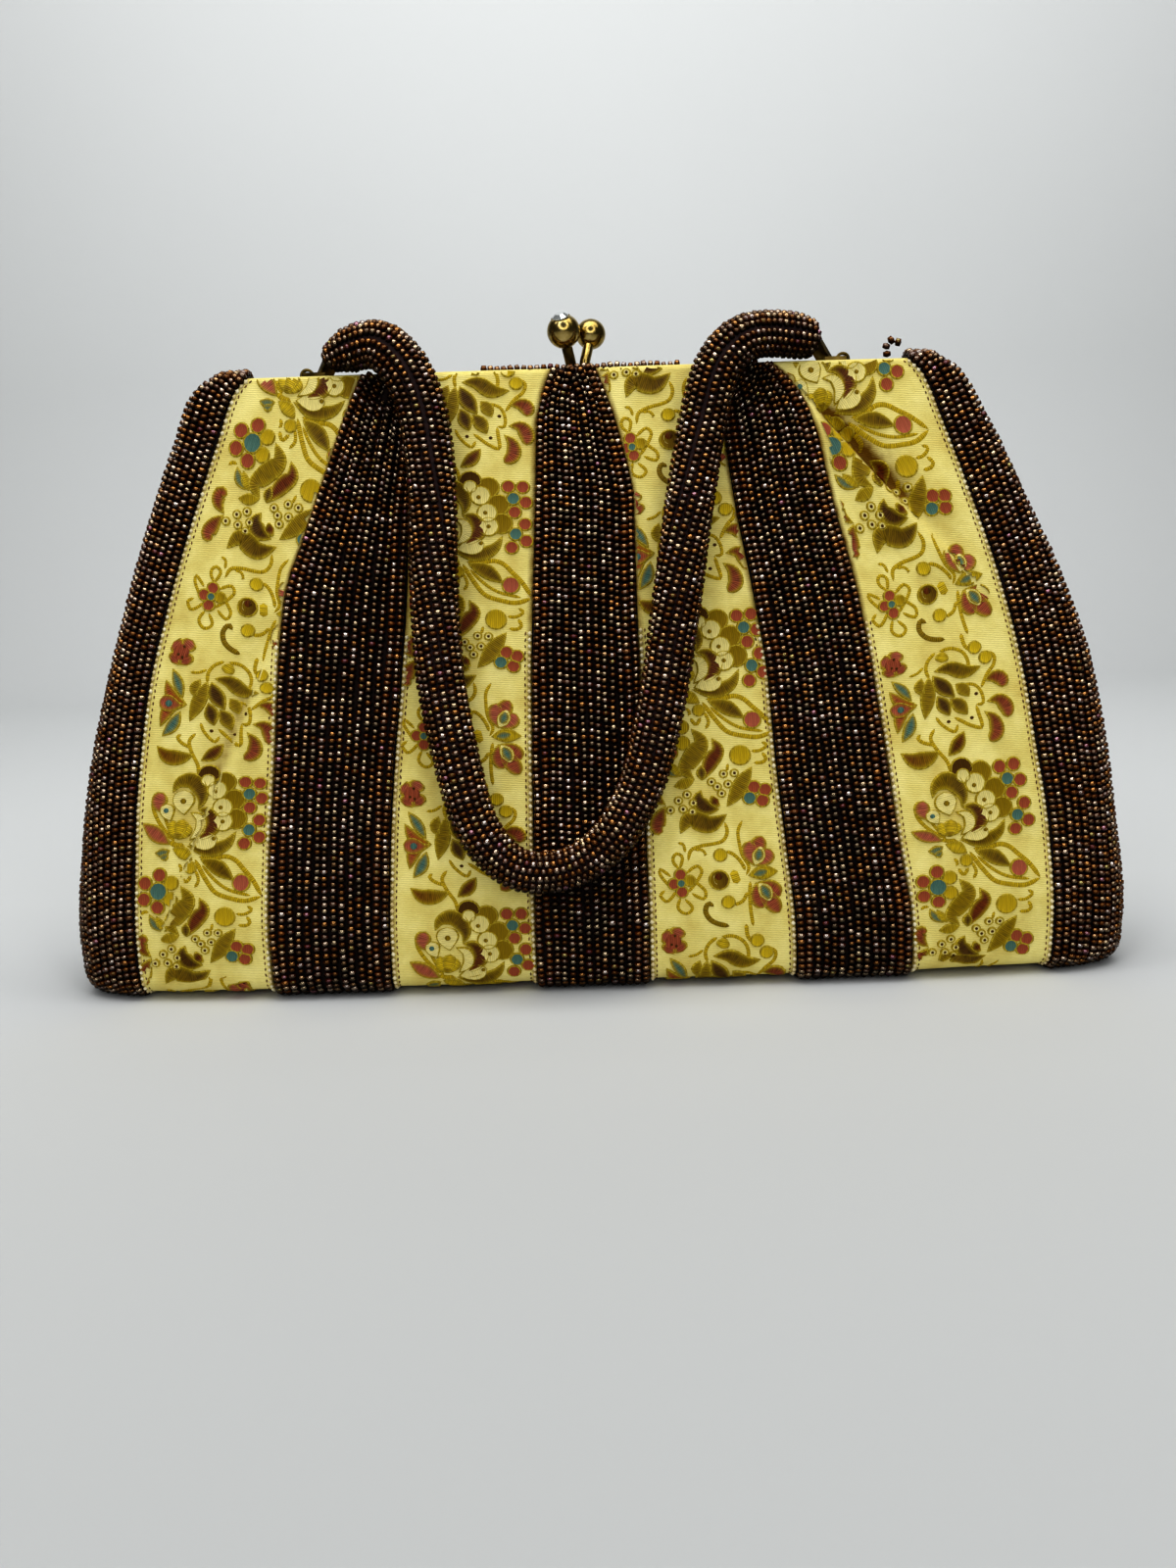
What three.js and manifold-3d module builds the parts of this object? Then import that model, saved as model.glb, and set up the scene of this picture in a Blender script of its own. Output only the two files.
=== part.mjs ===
// Soft frame handbag. Bands of brown seed beads alternate with flower ribbons and run from the mouth down
// the front, under the base and up the back. A two-part frame hidden in the mouth closes with two snap
// balls, and a rolled beaded strap arches up from its lugs and hangs down in front of the bag.
// Millimetres, +Z up, the front faces -Y, +X is on the right as seen from the front.
// The origin is on the floor, below the middle of the mouth.
import * as THREE from 'three';
import { mergeVertices } from 'three/addons/utils/BufferGeometryUtils.js';
import Module from 'manifold-3d';

const wasm = await Module();
wasm.setup();

// Cloth of the pouch
const RIBBON_THICK = 1.2;
const BEAD_RISE = 1.8;
const STRIP_GAP = 0.3;
const SIDE_ROUNDNESS = 5.5;

// Half of the wall, from the mouth (first row) down to the middle of the base (last row), on the outside of
// the ribbons. depth is the distance from the middle plane, left and right are the half widths, and
// left1 to left4 and right1 to right4 are where the strips meet on each side, counted outwards from the middle.
const WALL_ROWS = [
  {
    z: 170.6, depth: 6.0, left: 99.0, right: 99.5,
    left1: 6.2, left2: 42.5, left3: 58.2, left4: 90.2, right1: 5.5, right2: 39.0, right3: 53.5, right4: 91.6,
  },
  {
    z: 166.6, depth: 6.7, left: 105.0, right: 105.5,
    left1: 8.0, left2: 43.0, left3: 60.3, left4: 94.1, right1: 7.0, right2: 39.4, right3: 58.0, right4: 95.6,
  },
  {
    z: 155.6, depth: 8.5, left: 110.0, right: 112.3,
    left1: 10.8, left2: 44.5, left3: 64.6, left4: 98.4, right1: 10.7, right2: 40.2, right3: 64.4, right4: 100.2,
  },
  {
    z: 132.6, depth: 12.4, left: 119.0, right: 123.4,
    left1: 12.0, left2: 47.0, left3: 73.6, left4: 106.9, right1: 14.9, right2: 42.9, right3: 69.7, right4: 108.4,
  },
  {
    z: 109.6, depth: 16.2, left: 127.0, right: 134.0,
    left1: 13.4, left2: 48.3, left3: 82.0, left4: 114.6, right1: 14.9, right2: 46.9, right3: 75.3, right4: 115.7,
  },
  {
    z: 86.6, depth: 20.0, left: 134.0, right: 142.0,
    left1: 14.5, left2: 50.6, left3: 84.5, left4: 120.8, right1: 15.2, right2: 50.4, right3: 79.1, right4: 121.2,
  },
  {
    z: 63.6, depth: 23.9, left: 140.0, right: 146.4,
    left1: 15.0, left2: 53.2, left3: 86.2, left4: 124.5, right1: 15.3, right2: 51.8, right3: 82.3, right4: 124.5,
  },
  {
    z: 40.6, depth: 27.6, left: 143.7, right: 149.2,
    left1: 15.5, left2: 55.0, left3: 88.3, left4: 126.4, right1: 15.5, right2: 54.1, right3: 85.0, right4: 127.6,
  },
  {
    z: 17.0, depth: 30.2, left: 146.0, right: 151.5,
    left1: 15.7, left2: 56.1, left3: 89.4, left4: 127.5, right1: 15.7, right2: 56.3, right3: 88.4, right4: 128.6,
  },
  {
    z: 6.0, depth: 29.6, left: 145.6, right: 151.1,
    left1: 15.7, left2: 56.2, left3: 89.4, left4: 127.3, right1: 15.7, right2: 56.6, right3: 88.8, right4: 128.4,
  },
  {
    z: 2.4, depth: 26.8, left: 143.6, right: 148.8,
    left1: 15.7, left2: 56.2, left3: 89.4, left4: 126.8, right1: 15.7, right2: 56.6, right3: 88.8, right4: 127.9,
  },
  {
    z: 1.8, depth: 23.0, left: 141.4, right: 146.4,
    left1: 15.7, left2: 56.2, left3: 89.4, left4: 126.3, right1: 15.7, right2: 56.6, right3: 88.8, right4: 127.4,
  },
  {
    z: 1.8, depth: 0.0, left: 141.4, right: 146.4,
    left1: 15.7, left2: 56.2, left3: 89.4, left4: 126.3, right1: 15.7, right2: 56.6, right3: 88.8, right4: 127.4,
  },
];
const SHOULDER_ROW = 1;
const CURL_ROW = 8;
const FLAT_ROW = 11;

// Steps of the wall's mesh along the straight front, the straight back, a side and the curl under the bag
const FRONT_STEPS = 15;
const BACK_STEPS = 7;
const SIDE_STEPS = 10;
const CURL_STEPS = 4;

// Fold lines pressed into the front of two ribbons, from one point on the wall to another. The cloth stands
// up by height on one side of the line and sinks by as much on the other, and width is how far that reaches.
const FOLDS = [
  { strip: 'ribbon_4', fromX: 64, fromZ: 159.6, toX: 108, toZ: 109.6, height: 1.6, width: 7 },
  { strip: 'ribbon_1', fromX: -103, fromZ: 58.6, toX: -82, toZ: 107.6, height: 1.1, width: 6 },
];

// The bead bands are gathered into a groove at the mouth, which runs out lower down
const GATHER = { depth: 1.3, width: 2.6, topZ: 164.6, endZ: 116.6 };

// Hidden frame: a flat bar in each half of the mouth, with an arm at each end down to a hinge pin. The bar's
// ends slope down from the shoulder to a corner a little further out and lower.
const FRAME = { near: 0.3, far: 3.7, topZ: 169.6, barHigh: 6.5, barHalf: 84, armWide: 5 };
const SHOULDER = { inset: 6, cornerOut: 2, cornerDown: 3 };
const HINGE = { x: 103, z: 142.6, eye: 3.6, hole: 1.8, pin: 1.4, pinLong: 9 };

// Snap balls. Each stem stands on one half of the frame, leans, and crosses over to the other side.
const FRONT_BALL = { x: 4.7, y: 2.8, z: 180.6, radius: 4.15, stem: 1.45, footX: 2.7, footY: -2.0 };
const BACK_BALL = { x: -2.8, y: -2.6, z: 180.8, radius: 4.6, stem: 1.5, footX: -1.0, footY: 2.0 };
const STEM = { rootDeep: 2, bendHigh: 2.2, bendShare: 0.9, crossHigh: 6.6 };

// Cut stone in the back half's ball, turned about the ball's middle towards the front and the left
const STONE = { girdle: 2.4, edge: 0.25, table: 1.3, crown: 0.8, pavilion: 1.5, facets: 10, sink: 0.55 };
const SEAT = { gap: 0.3, edgeGap: 0.09, towardsFront: 27, towardsLeft: 12 };

// Lugs on the back half of the frame, and the flat hooks that join the strap to them
const LUG = { x: 75, y: 2.0, z: 171.6, radius: 2.0, hole: 1.25, thick: 1.8, foot: 168.6 };
const HOOK = {
  bar: 1.2, halfWide: 2.3, reach: 4.9, tabWide: 4.4, tabThick: 1.3, tabLong: 11, slot: 0.35, aim: 0.008,
};

// A short string of beads sewn along the front rim of the mouth
const MOUTH_BEADS = { left: -26, right: 29, y: -5.1, z: 171.9, radius: 0.95, sides: 8, steps: 4 };

// Strap: a rolled tube, thick through and wide across, along points from its left end to its right end.
// lift is how far its middle stands in front of the wall, counted from the rim where it is above the mouth.
const STRAP_THICK = 9.8;
const STRAP_STEPS = 46;
const STRAP_SIDES = 10;
const STRAP_ROWS = [
  { x: -68.0, z: 174.9, lift: -3.3, wide: 7.4 },
  { x: -61.5, z: 177.2, lift: 0.0, wide: 12.2 },
  { x: -53.0, z: 177.6, lift: 4.8, wide: 13.4 },
  { x: -46.4, z: 171.8, lift: 8.0, wide: 13.6 },
  { x: -41.8, z: 161.1, lift: 7.8, wide: 13.6 },
  { x: -39.6, z: 142.6, lift: 7.4, wide: 13.4 },
  { x: -39.8, z: 117.6, lift: 7.4, wide: 13.4 },
  { x: -39.0, z: 90.6, lift: 7.4, wide: 13.4 },
  { x: -35.8, z: 69.6, lift: 7.4, wide: 13.0 },
  { x: -29.5, z: 47.1, lift: 7.4, wide: 12.4 },
  { x: -20.0, z: 37.2, lift: 7.4, wide: 11.8 },
  { x: -7.5, z: 36.4, lift: 7.4, wide: 11.6 },
  { x: 4.0, z: 42.6, lift: 7.4, wide: 12.0 },
  { x: 13.5, z: 56.6, lift: 7.4, wide: 12.6 },
  { x: 19.5, z: 75.6, lift: 7.4, wide: 13.2 },
  { x: 24.8, z: 103.1, lift: 7.4, wide: 13.4 },
  { x: 29.5, z: 131.6, lift: 7.4, wide: 13.4 },
  { x: 34.2, z: 155.6, lift: 7.4, wide: 13.2 },
  { x: 38.6, z: 169.1, lift: 8.3, wide: 13.0 },
  { x: 44.8, z: 175.6, lift: 6.3, wide: 12.8 },
  { x: 52.8, z: 177.8, lift: 1.8, wide: 12.6 },
  { x: 60.5, z: 177.4, lift: -1.0, wide: 12.6 },
  { x: 67.0, z: 176.4, lift: -3.3, wide: 10.6 },
];

const beads = { color: 0x3a1d12, roughness: 0.32, metalness: 0.35 };
const ribbonCloth = { color: 0xe3d07c, roughness: 0.72, metalness: 0.0 };
const brass = { color: 0xb08a3a, roughness: 0.22, metalness: 1.0 };
const oldBrass = { color: 0x7d7048, roughness: 0.42, metalness: 1.0 };
const crystal = { color: 0xf2f4f2, roughness: 0.05, metalness: 0.0 };

// Facets of the round metal parts
const FACETS = { ballRound: 14, ballRows: 10, stem: 5, stemSteps: 8, plate: 6, pin: 12 };

const bag = new THREE.Group();

function addMesh(name, geometry, look) {
  const mesh = new THREE.Mesh(geometry, new THREE.MeshStandardMaterial(look));
  mesh.name = name;
  bag.add(mesh);
  return mesh;
}

// Joining and cutting of closed meshes
function toSolid(geometry) {
  const bare = geometry.clone();
  bare.deleteAttribute('normal');
  bare.deleteAttribute('uv');
  const merged = mergeVertices(bare, 1e-4);
  const vertProperties = new Float32Array(merged.attributes.position.array);
  const triVerts = new Uint32Array(merged.index.array);
  return new wasm.Manifold(new wasm.Mesh({ numProp: 3, vertProperties, triVerts }));
}

function toGeometry(solid) {
  const mesh = solid.getMesh();
  const geometry = new THREE.BufferGeometry();
  geometry.setAttribute('position', new THREE.BufferAttribute(new Float32Array(mesh.vertProperties), 3));
  geometry.setIndex(new THREE.BufferAttribute(new Uint32Array(mesh.triVerts), 1));
  geometry.computeVertexNormals();
  return geometry;
}

function joined(geometries) {
  return geometries.map(toSolid).reduce((whole, next) => whole.add(next));
}

// Shape of the wall. Distances along it run from the mouth to the middle of the base.
const WALL_ALONG = [0];
for (let i = 1; i < WALL_ROWS.length; i += 1) {
  const drop = WALL_ROWS[i].z - WALL_ROWS[i - 1].z;
  const spread = WALL_ROWS[i].depth - WALL_ROWS[i - 1].depth;
  WALL_ALONG.push(WALL_ALONG[i - 1] + Math.hypot(drop, spread));
}
const WALL_LENGTH = WALL_ALONG[WALL_ROWS.length - 1];

// Slopes of a smooth curve through the rows that never overshoots them
function columnSlopes(key) {
  const rises = [];
  for (let i = 0; i + 1 < WALL_ROWS.length; i += 1) {
    rises.push((WALL_ROWS[i + 1][key] - WALL_ROWS[i][key]) / (WALL_ALONG[i + 1] - WALL_ALONG[i]));
  }
  const slopes = [rises[0]];
  for (let i = 1; i < rises.length; i += 1) {
    const before = rises[i - 1];
    const after = rises[i];
    slopes.push(before * after > 0 ? (2 * before * after) / (before + after) : 0);
  }
  slopes.push(rises[rises.length - 1]);
  return slopes;
}

const WALL_SLOPES = {};
for (const key of Object.keys(WALL_ROWS[0])) {
  WALL_SLOPES[key] = columnSlopes(key);
}

function wallValue(key, along) {
  const s = THREE.MathUtils.clamp(along, 0, WALL_LENGTH);
  let i = 0;
  while (i + 2 < WALL_ROWS.length && WALL_ALONG[i + 1] < s) {
    i += 1;
  }
  const step = WALL_ALONG[i + 1] - WALL_ALONG[i];
  const t = (s - WALL_ALONG[i]) / step;
  const from = WALL_ROWS[i][key];
  const to = WALL_ROWS[i + 1][key];
  const leaving = WALL_SLOPES[key][i] * step;
  const arriving = WALL_SLOPES[key][i + 1] * step;
  const t2 = t * t;
  const t3 = t2 * t;
  return from * (2 * t3 - 3 * t2 + 1) + leaving * (t3 - 2 * t2 + t)
    + to * (3 * t2 - 2 * t3) + arriving * (t3 - t2);
}

// side is -1 on the front and +1 on the back
function wallPoint(along, x, side) {
  const half = wallValue(x < 0 ? 'left' : 'right', along);
  const share = Math.min(1, Math.abs(x) / half);
  const bulge = (1 - share ** SIDE_ROUNDNESS) ** (1 / SIDE_ROUNDNESS);
  return new THREE.Vector3(x, side * wallValue('depth', along) * bulge, wallValue('z', along));
}

// A normal is taken from points a small step apart, and turned to the side of a rough direction away from
// the middle of the bag
const NORMAL_STEP = 0.1;
const AWAY = { acrossShare: 0.2, deep: 30, middleZ: 60 };

function outward(alongStep, acrossStep, away) {
  const normal = new THREE.Vector3().crossVectors(alongStep, acrossStep).normalize();
  return normal.dot(away) < 0 ? normal.negate() : normal;
}

function wallNormal(along, x, side) {
  const s = Math.min(along, WALL_LENGTH - 2 * NORMAL_STEP);
  const above = Math.max(0, s - NORMAL_STEP);
  const alongStep = wallPoint(s + NORMAL_STEP, x, side).sub(wallPoint(above, x, side));
  const acrossStep = wallPoint(s, x + NORMAL_STEP, side).sub(wallPoint(s, x - NORMAL_STEP, side));
  const point = wallPoint(s, x, side);
  const away = new THREE.Vector3(point.x * AWAY.acrossShare, side * AWAY.deep, point.z - AWAY.middleZ);
  return outward(alongStep, acrossStep, away);
}

// The rows of a strip: down the front, under the base and up the back
function stripRows(frontSteps, backSteps) {
  const shoulder = WALL_ALONG[SHOULDER_ROW];
  const curl = WALL_ALONG[CURL_ROW];
  const flat = WALL_ALONG[FLAT_ROW];
  const half = (straightSteps) => {
    const places = [0, shoulder / 2];
    for (let i = 0; i < straightSteps; i += 1) {
      places.push(shoulder + ((curl - shoulder) * i) / straightSteps);
    }
    for (let i = 0; i < CURL_STEPS; i += 1) {
      places.push(curl + ((flat - curl) * i) / CURL_STEPS);
    }
    places.push(flat);
    return places;
  };
  const front = half(frontSteps).map((along) => ({ along, side: -1 }));
  const back = half(backSteps).map((along) => ({ along, side: 1 })).reverse();
  return [...front, { along: WALL_LENGTH, side: -1 }, ...back];
}

// A closed shell between an outer and an inner grid of points. With a side seam, the last column of the
// front meets the last column of the back and has no rim. With a top seam, the first row meets the last.
function shellGeometry(outer, inner, { sideSeam = false, topSeam = false } = {}) {
  const places = [];
  const triangle = (a, b, c) => {
    const tiny = 1e-5;
    if (a.distanceTo(b) > tiny && b.distanceTo(c) > tiny && c.distanceTo(a) > tiny) {
      places.push(...a.toArray(), ...b.toArray(), ...c.toArray());
    }
  };
  const quad = (a, b, c, d) => {
    triangle(a, b, c);
    triangle(a, c, d);
  };
  const lastRow = outer.length - 1;
  const lastColumn = outer[0].length - 1;
  for (let i = 0; i < lastRow; i += 1) {
    for (let j = 0; j < lastColumn; j += 1) {
      quad(outer[i][j], outer[i + 1][j], outer[i + 1][j + 1], outer[i][j + 1]);
      quad(inner[i][j], inner[i][j + 1], inner[i + 1][j + 1], inner[i + 1][j]);
    }
    quad(outer[i][0], inner[i][0], inner[i + 1][0], outer[i + 1][0]);
    if (!sideSeam) {
      const j = lastColumn;
      quad(outer[i][j], outer[i + 1][j], inner[i + 1][j], inner[i][j]);
    }
  }
  for (let j = 0; j < lastColumn && !topSeam; j += 1) {
    quad(outer[0][j], outer[0][j + 1], inner[0][j + 1], inner[0][j]);
    quad(outer[lastRow][j], inner[lastRow][j], inner[lastRow][j + 1], outer[lastRow][j + 1]);
  }
  let volume = 0;
  for (let i = 0; i < places.length; i += 9) {
    const a = new THREE.Vector3().fromArray(places, i);
    const b = new THREE.Vector3().fromArray(places, i + 3);
    const c = new THREE.Vector3().fromArray(places, i + 6);
    volume += a.dot(b.cross(c));
  }
  if (volume < 0) {
    for (let i = 0; i < places.length; i += 9) {
      const second = places.slice(i + 3, i + 6);
      places.splice(i + 3, 3, ...places.slice(i + 6, i + 9));
      places.splice(i + 6, 3, ...second);
    }
  }
  const loose = new THREE.BufferGeometry();
  loose.setAttribute('position', new THREE.Float32BufferAttribute(places, 3));
  const geometry = mergeVertices(loose, 1e-4);
  geometry.computeVertexNormals();
  return geometry;
}

// How far a fold lifts the cloth of a strip at a point of the front. It fades out towards its ends, given as
// shares of its length.
const FOLD_FADE = { start: -0.05, full: 0.15, wane: 0.8, end: 1.0 };
const FOLD_SHARPNESS = 1.2;

function foldLift(strip, point) {
  let lift = 0;
  for (const fold of FOLDS.filter((each) => each.strip === strip)) {
    const run = new THREE.Vector2(fold.toX - fold.fromX, fold.toZ - fold.fromZ);
    const long = run.length();
    run.divideScalar(long);
    const fromStart = new THREE.Vector2(point.x - fold.fromX, point.z - fold.fromZ);
    const across = fromStart.x * -run.y + fromStart.y * run.x;
    const past = fromStart.dot(run) / long;
    const fadeIn = THREE.MathUtils.smoothstep(past, FOLD_FADE.start, FOLD_FADE.full);
    const fadeOut = 1 - THREE.MathUtils.smoothstep(past, FOLD_FADE.wane, FOLD_FADE.end);
    const reach = Math.exp(-((across / fold.width) ** 2));
    lift -= Math.tanh(across / FOLD_SHARPNESS) * reach * fold.height * fadeIn * fadeOut;
  }
  return lift;
}

// How deep the gathers press into a bead band
function gatherDip(fromMiddle, z) {
  const strength = THREE.MathUtils.smoothstep(z, GATHER.endZ, GATHER.topZ);
  return GATHER.depth * strength * Math.exp(-((fromMiddle / GATHER.width) ** 2));
}

// Ribbons and the three inner bead bands. from and to name the edges on each side, with the sign of the side.
const STRIPS = [
  { name: 'ribbon_1', from: -4, to: -3, columns: 7, beaded: false },
  { name: 'bead_band_left', from: -3, to: -2, columns: 6, beaded: true },
  { name: 'ribbon_2', from: -2, to: -1, columns: 4, beaded: false },
  { name: 'bead_band_middle', from: -1, to: 1, columns: 6, beaded: true },
  { name: 'ribbon_3', from: 1, to: 2, columns: 4, beaded: false },
  { name: 'bead_band_right', from: 2, to: 3, columns: 6, beaded: true },
  { name: 'ribbon_4', from: 3, to: 4, columns: 7, beaded: false },
];

function edgeAt(edge, along) {
  return Math.sign(edge) * wallValue(`${edge < 0 ? 'left' : 'right'}${Math.abs(edge)}`, along);
}

for (const strip of STRIPS) {
  const outer = [];
  const inner = [];
  for (const row of stripRows(FRONT_STEPS, BACK_STEPS)) {
    const left = edgeAt(strip.from, row.along) + STRIP_GAP / 2;
    const right = edgeAt(strip.to, row.along) - STRIP_GAP / 2;
    const outerRow = [];
    const innerRow = [];
    for (let j = 0; j <= strip.columns; j += 1) {
      const x = left + ((right - left) * j) / strip.columns;
      const point = wallPoint(row.along, x, row.side);
      const normal = wallNormal(row.along, x, row.side);
      const fold = row.side < 0 ? foldLift(strip.name, point) : 0;
      const rise = strip.beaded ? BEAD_RISE - gatherDip(x - (left + right) / 2, point.z) : fold;
      const sink = strip.beaded ? -RIBBON_THICK : fold - RIBBON_THICK;
      outerRow.push(point.clone().addScaledVector(normal, rise));
      innerRow.push(point.clone().addScaledVector(normal, sink));
    }
    outer.push(outerRow);
    inner.push(innerRow);
  }
  addMesh(strip.name, shellGeometry(outer, inner), strip.beaded ? beads : ribbonCloth);
}

// Side bands: each wraps round one side of the bag, from the front ribbon's edge to the back one's, and
// closes over the top of the shoulder in a low cap beside the end of the frame. The rim's normals tilt up
// into the cap, fully from a third of the way round.
const SIDE_COLUMNS = 6;
const SIDE_SAMPLES = 60;
const SHARE_STEP = 0.02;
const SIDE_AWAY = { x: 90, z: 40 };
const CAP = { high: 1.3, halfway: 0.55, tilt: 0.7, fullShare: 1 / 3 };

// A point of the side at a share of the way round from the strip's edge (0) to the side seam (1)
function sidePoint(along, share, sign, side) {
  const half = wallValue(sign < 0 ? 'left' : 'right', along);
  const depth = wallValue('depth', along);
  const edge = wallValue(sign < 0 ? 'left4' : 'right4', along) + STRIP_GAP / 2;
  const places = [];
  const count = SIDE_SAMPLES;
  const firstTurn = Math.asin((edge / half) ** (SIDE_ROUNDNESS / 2));
  for (let i = 0; i <= count; i += 1) {
    const turn = firstTurn + ((Math.PI / 2 - firstTurn) * i) / count;
    const x = half * Math.sin(turn) ** (2 / SIDE_ROUNDNESS);
    const y = i === count ? 0 : depth * Math.cos(turn) ** (2 / SIDE_ROUNDNESS);
    places.push({ x, y, far: 0 });
  }
  for (let i = 1; i <= count; i += 1) {
    const step = Math.hypot(places[i].x - places[i - 1].x, places[i].y - places[i - 1].y);
    places[i].far = places[i - 1].far + step;
  }
  const goal = share * places[count].far;
  let k = 1;
  while (k < count && places[k].far < goal) {
    k += 1;
  }
  const part = (goal - places[k - 1].far) / (places[k].far - places[k - 1].far);
  const x = places[k - 1].x + (places[k].x - places[k - 1].x) * part;
  const y = places[k - 1].y + (places[k].y - places[k - 1].y) * part;
  return new THREE.Vector3(sign * x, side * y, wallValue('z', along));
}

function sideNormal(along, share, sign, side) {
  if (share >= 1) {
    const s = Math.min(along, WALL_ALONG[FLAT_ROW] - 4 * NORMAL_STEP);
    const above = Math.max(0, s - 2 * NORMAL_STEP);
    const below = s + 2 * NORMAL_STEP;
    const key = sign < 0 ? 'left' : 'right';
    const widen = wallValue(key, below) - wallValue(key, above);
    const climb = wallValue('z', below) - wallValue('z', above);
    return new THREE.Vector3(-sign * climb, 0, widen).normalize();
  }
  const s = Math.min(along, WALL_LENGTH - 2 * NORMAL_STEP);
  const above = sidePoint(Math.max(0, s - NORMAL_STEP), share, sign, side);
  const alongStep = sidePoint(s + NORMAL_STEP, share, sign, side).sub(above);
  const nearShare = Math.max(0, share - SHARE_STEP);
  const acrossStep = sidePoint(s, share + SHARE_STEP, sign, side).sub(sidePoint(s, nearShare, sign, side));
  const point = sidePoint(s, share, sign, side);
  const awayZ = along > WALL_ALONG[CURL_ROW] ? point.z - SIDE_AWAY.z : 0;
  return outward(alongStep, acrossStep, new THREE.Vector3(point.x - sign * SIDE_AWAY.x, point.y, awayZ));
}

function sideRow(row, sign) {
  const outer = [];
  const inner = [];
  for (let j = 0; j <= SIDE_COLUMNS; j += 1) {
    const share = j / SIDE_COLUMNS;
    const point = sidePoint(row.along, share, sign, row.side);
    const normal = sideNormal(row.along, share, sign, row.side);
    if (row.along === 0 && share < 1) {
      normal.z += CAP.tilt * Math.min(1, share / CAP.fullShare);
      normal.normalize();
    }
    outer.push(point.clone().addScaledVector(normal, BEAD_RISE));
    inner.push(point.clone().addScaledVector(normal, -RIBBON_THICK));
  }
  return { outer, inner };
}

// A row of the cap: the rim's row drawn in to a share of its depth and lifted above the rim
function capRow(rim, depthShare) {
  const lift = CAP.high * (1 - depthShare ** 2);
  const drawnIn = (points) => points.map((point, j) => {
    const share = j / SIDE_COLUMNS;
    return new THREE.Vector3(point.x, point.y * depthShare, point.z + lift * (1 - share ** 3));
  });
  return { outer: drawnIn(rim.outer), inner: drawnIn(rim.inner) };
}

for (const sign of [-1, 1]) {
  const rows = stripRows(SIDE_STEPS, SIDE_STEPS).map((row) => sideRow(row, sign));
  const front = rows[0];
  const back = rows[rows.length - 1];
  rows.unshift(capRow(front, 0), capRow(front, CAP.halfway));
  rows.push(capRow(back, CAP.halfway), capRow(back, 0));
  const outer = rows.map((row) => row.outer);
  const inner = rows.map((row) => row.inner);
  const geometry = shellGeometry(outer, inner, { sideSeam: true, topSeam: true });
  addMesh(sign < 0 ? 'side_band_left' : 'side_band_right', geometry, beads);
}

// Frame halves: one flat plate each, with the pin holes cut through the ends of its arms
function framePlate(side) {
  const { topZ, barHigh, barHalf, armWide } = FRAME;
  const corner = barHalf + SHOULDER.cornerOut;
  const outline = new THREE.Shape();
  outline.moveTo(-barHalf + SHOULDER.inset, topZ);
  outline.lineTo(barHalf - SHOULDER.inset, topZ);
  outline.lineTo(corner, topZ - SHOULDER.cornerDown);
  outline.absarc(HINGE.x, HINGE.z, HINGE.eye, Math.PI * 0.2, Math.PI * 1.2, true);
  outline.lineTo(corner - armWide, topZ - barHigh);
  outline.lineTo(armWide - corner, topZ - barHigh);
  outline.absarc(-HINGE.x, HINGE.z, HINGE.eye, Math.PI * 1.8, Math.PI * 0.8, true);
  outline.lineTo(-corner, topZ - SHOULDER.cornerDown);
  for (const x of [-HINGE.x, HINGE.x]) {
    const hole = new THREE.Path();
    hole.absarc(x, HINGE.z, HINGE.hole, 0, Math.PI * 2, false);
    outline.holes.push(hole);
  }
  const plate = new THREE.ExtrudeGeometry(outline, {
    depth: FRAME.far - FRAME.near, bevelEnabled: false, curveSegments: FACETS.plate,
  });
  plate.rotateX(Math.PI / 2);
  plate.translate(0, side < 0 ? -FRAME.near : FRAME.far, 0);
  return plate;
}

// A round stem from the frame's bar to its ball, and the ball
function snapParts(snap) {
  const path = new THREE.CatmullRomCurve3([
    new THREE.Vector3(snap.footX, snap.footY, FRAME.topZ - STEM.rootDeep),
    new THREE.Vector3(snap.footX, snap.footY * STEM.bendShare, FRAME.topZ + STEM.bendHigh),
    new THREE.Vector3((snap.footX + snap.x) / 2, (snap.footY + snap.y) / 2, FRAME.topZ + STEM.crossHigh),
    new THREE.Vector3(snap.x, snap.y, snap.z),
  ]);
  const round = new THREE.Shape();
  round.absarc(0, 0, snap.stem, 0, Math.PI * 2, false);
  const stem = new THREE.ExtrudeGeometry(round, {
    steps: FACETS.stemSteps, curveSegments: FACETS.stem, extrudePath: path,
  });
  const ball = new THREE.SphereGeometry(snap.radius, FACETS.ballRound, FACETS.ballRows);
  ball.rotateX(Math.PI / 2);
  ball.translate(snap.x, snap.y, snap.z);
  return [stem, ball];
}

// An upright plate with a hole, standing on the back half of the frame
function lugPlate(sign) {
  const outline = new THREE.Shape();
  outline.moveTo(LUG.radius, LUG.foot - LUG.z);
  outline.lineTo(LUG.radius, 0);
  outline.absarc(0, 0, LUG.radius, 0, Math.PI, false);
  outline.lineTo(-LUG.radius, LUG.foot - LUG.z);
  const hole = new THREE.Path();
  hole.absarc(0, 0, LUG.hole, 0, Math.PI * 2, false);
  outline.holes.push(hole);
  const plate = new THREE.ExtrudeGeometry(outline, {
    depth: LUG.thick, bevelEnabled: false, curveSegments: FACETS.plate,
  });
  plate.rotateX(Math.PI / 2);
  plate.translate(sign * LUG.x, LUG.y + LUG.thick / 2, LUG.z);
  return plate;
}

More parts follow.
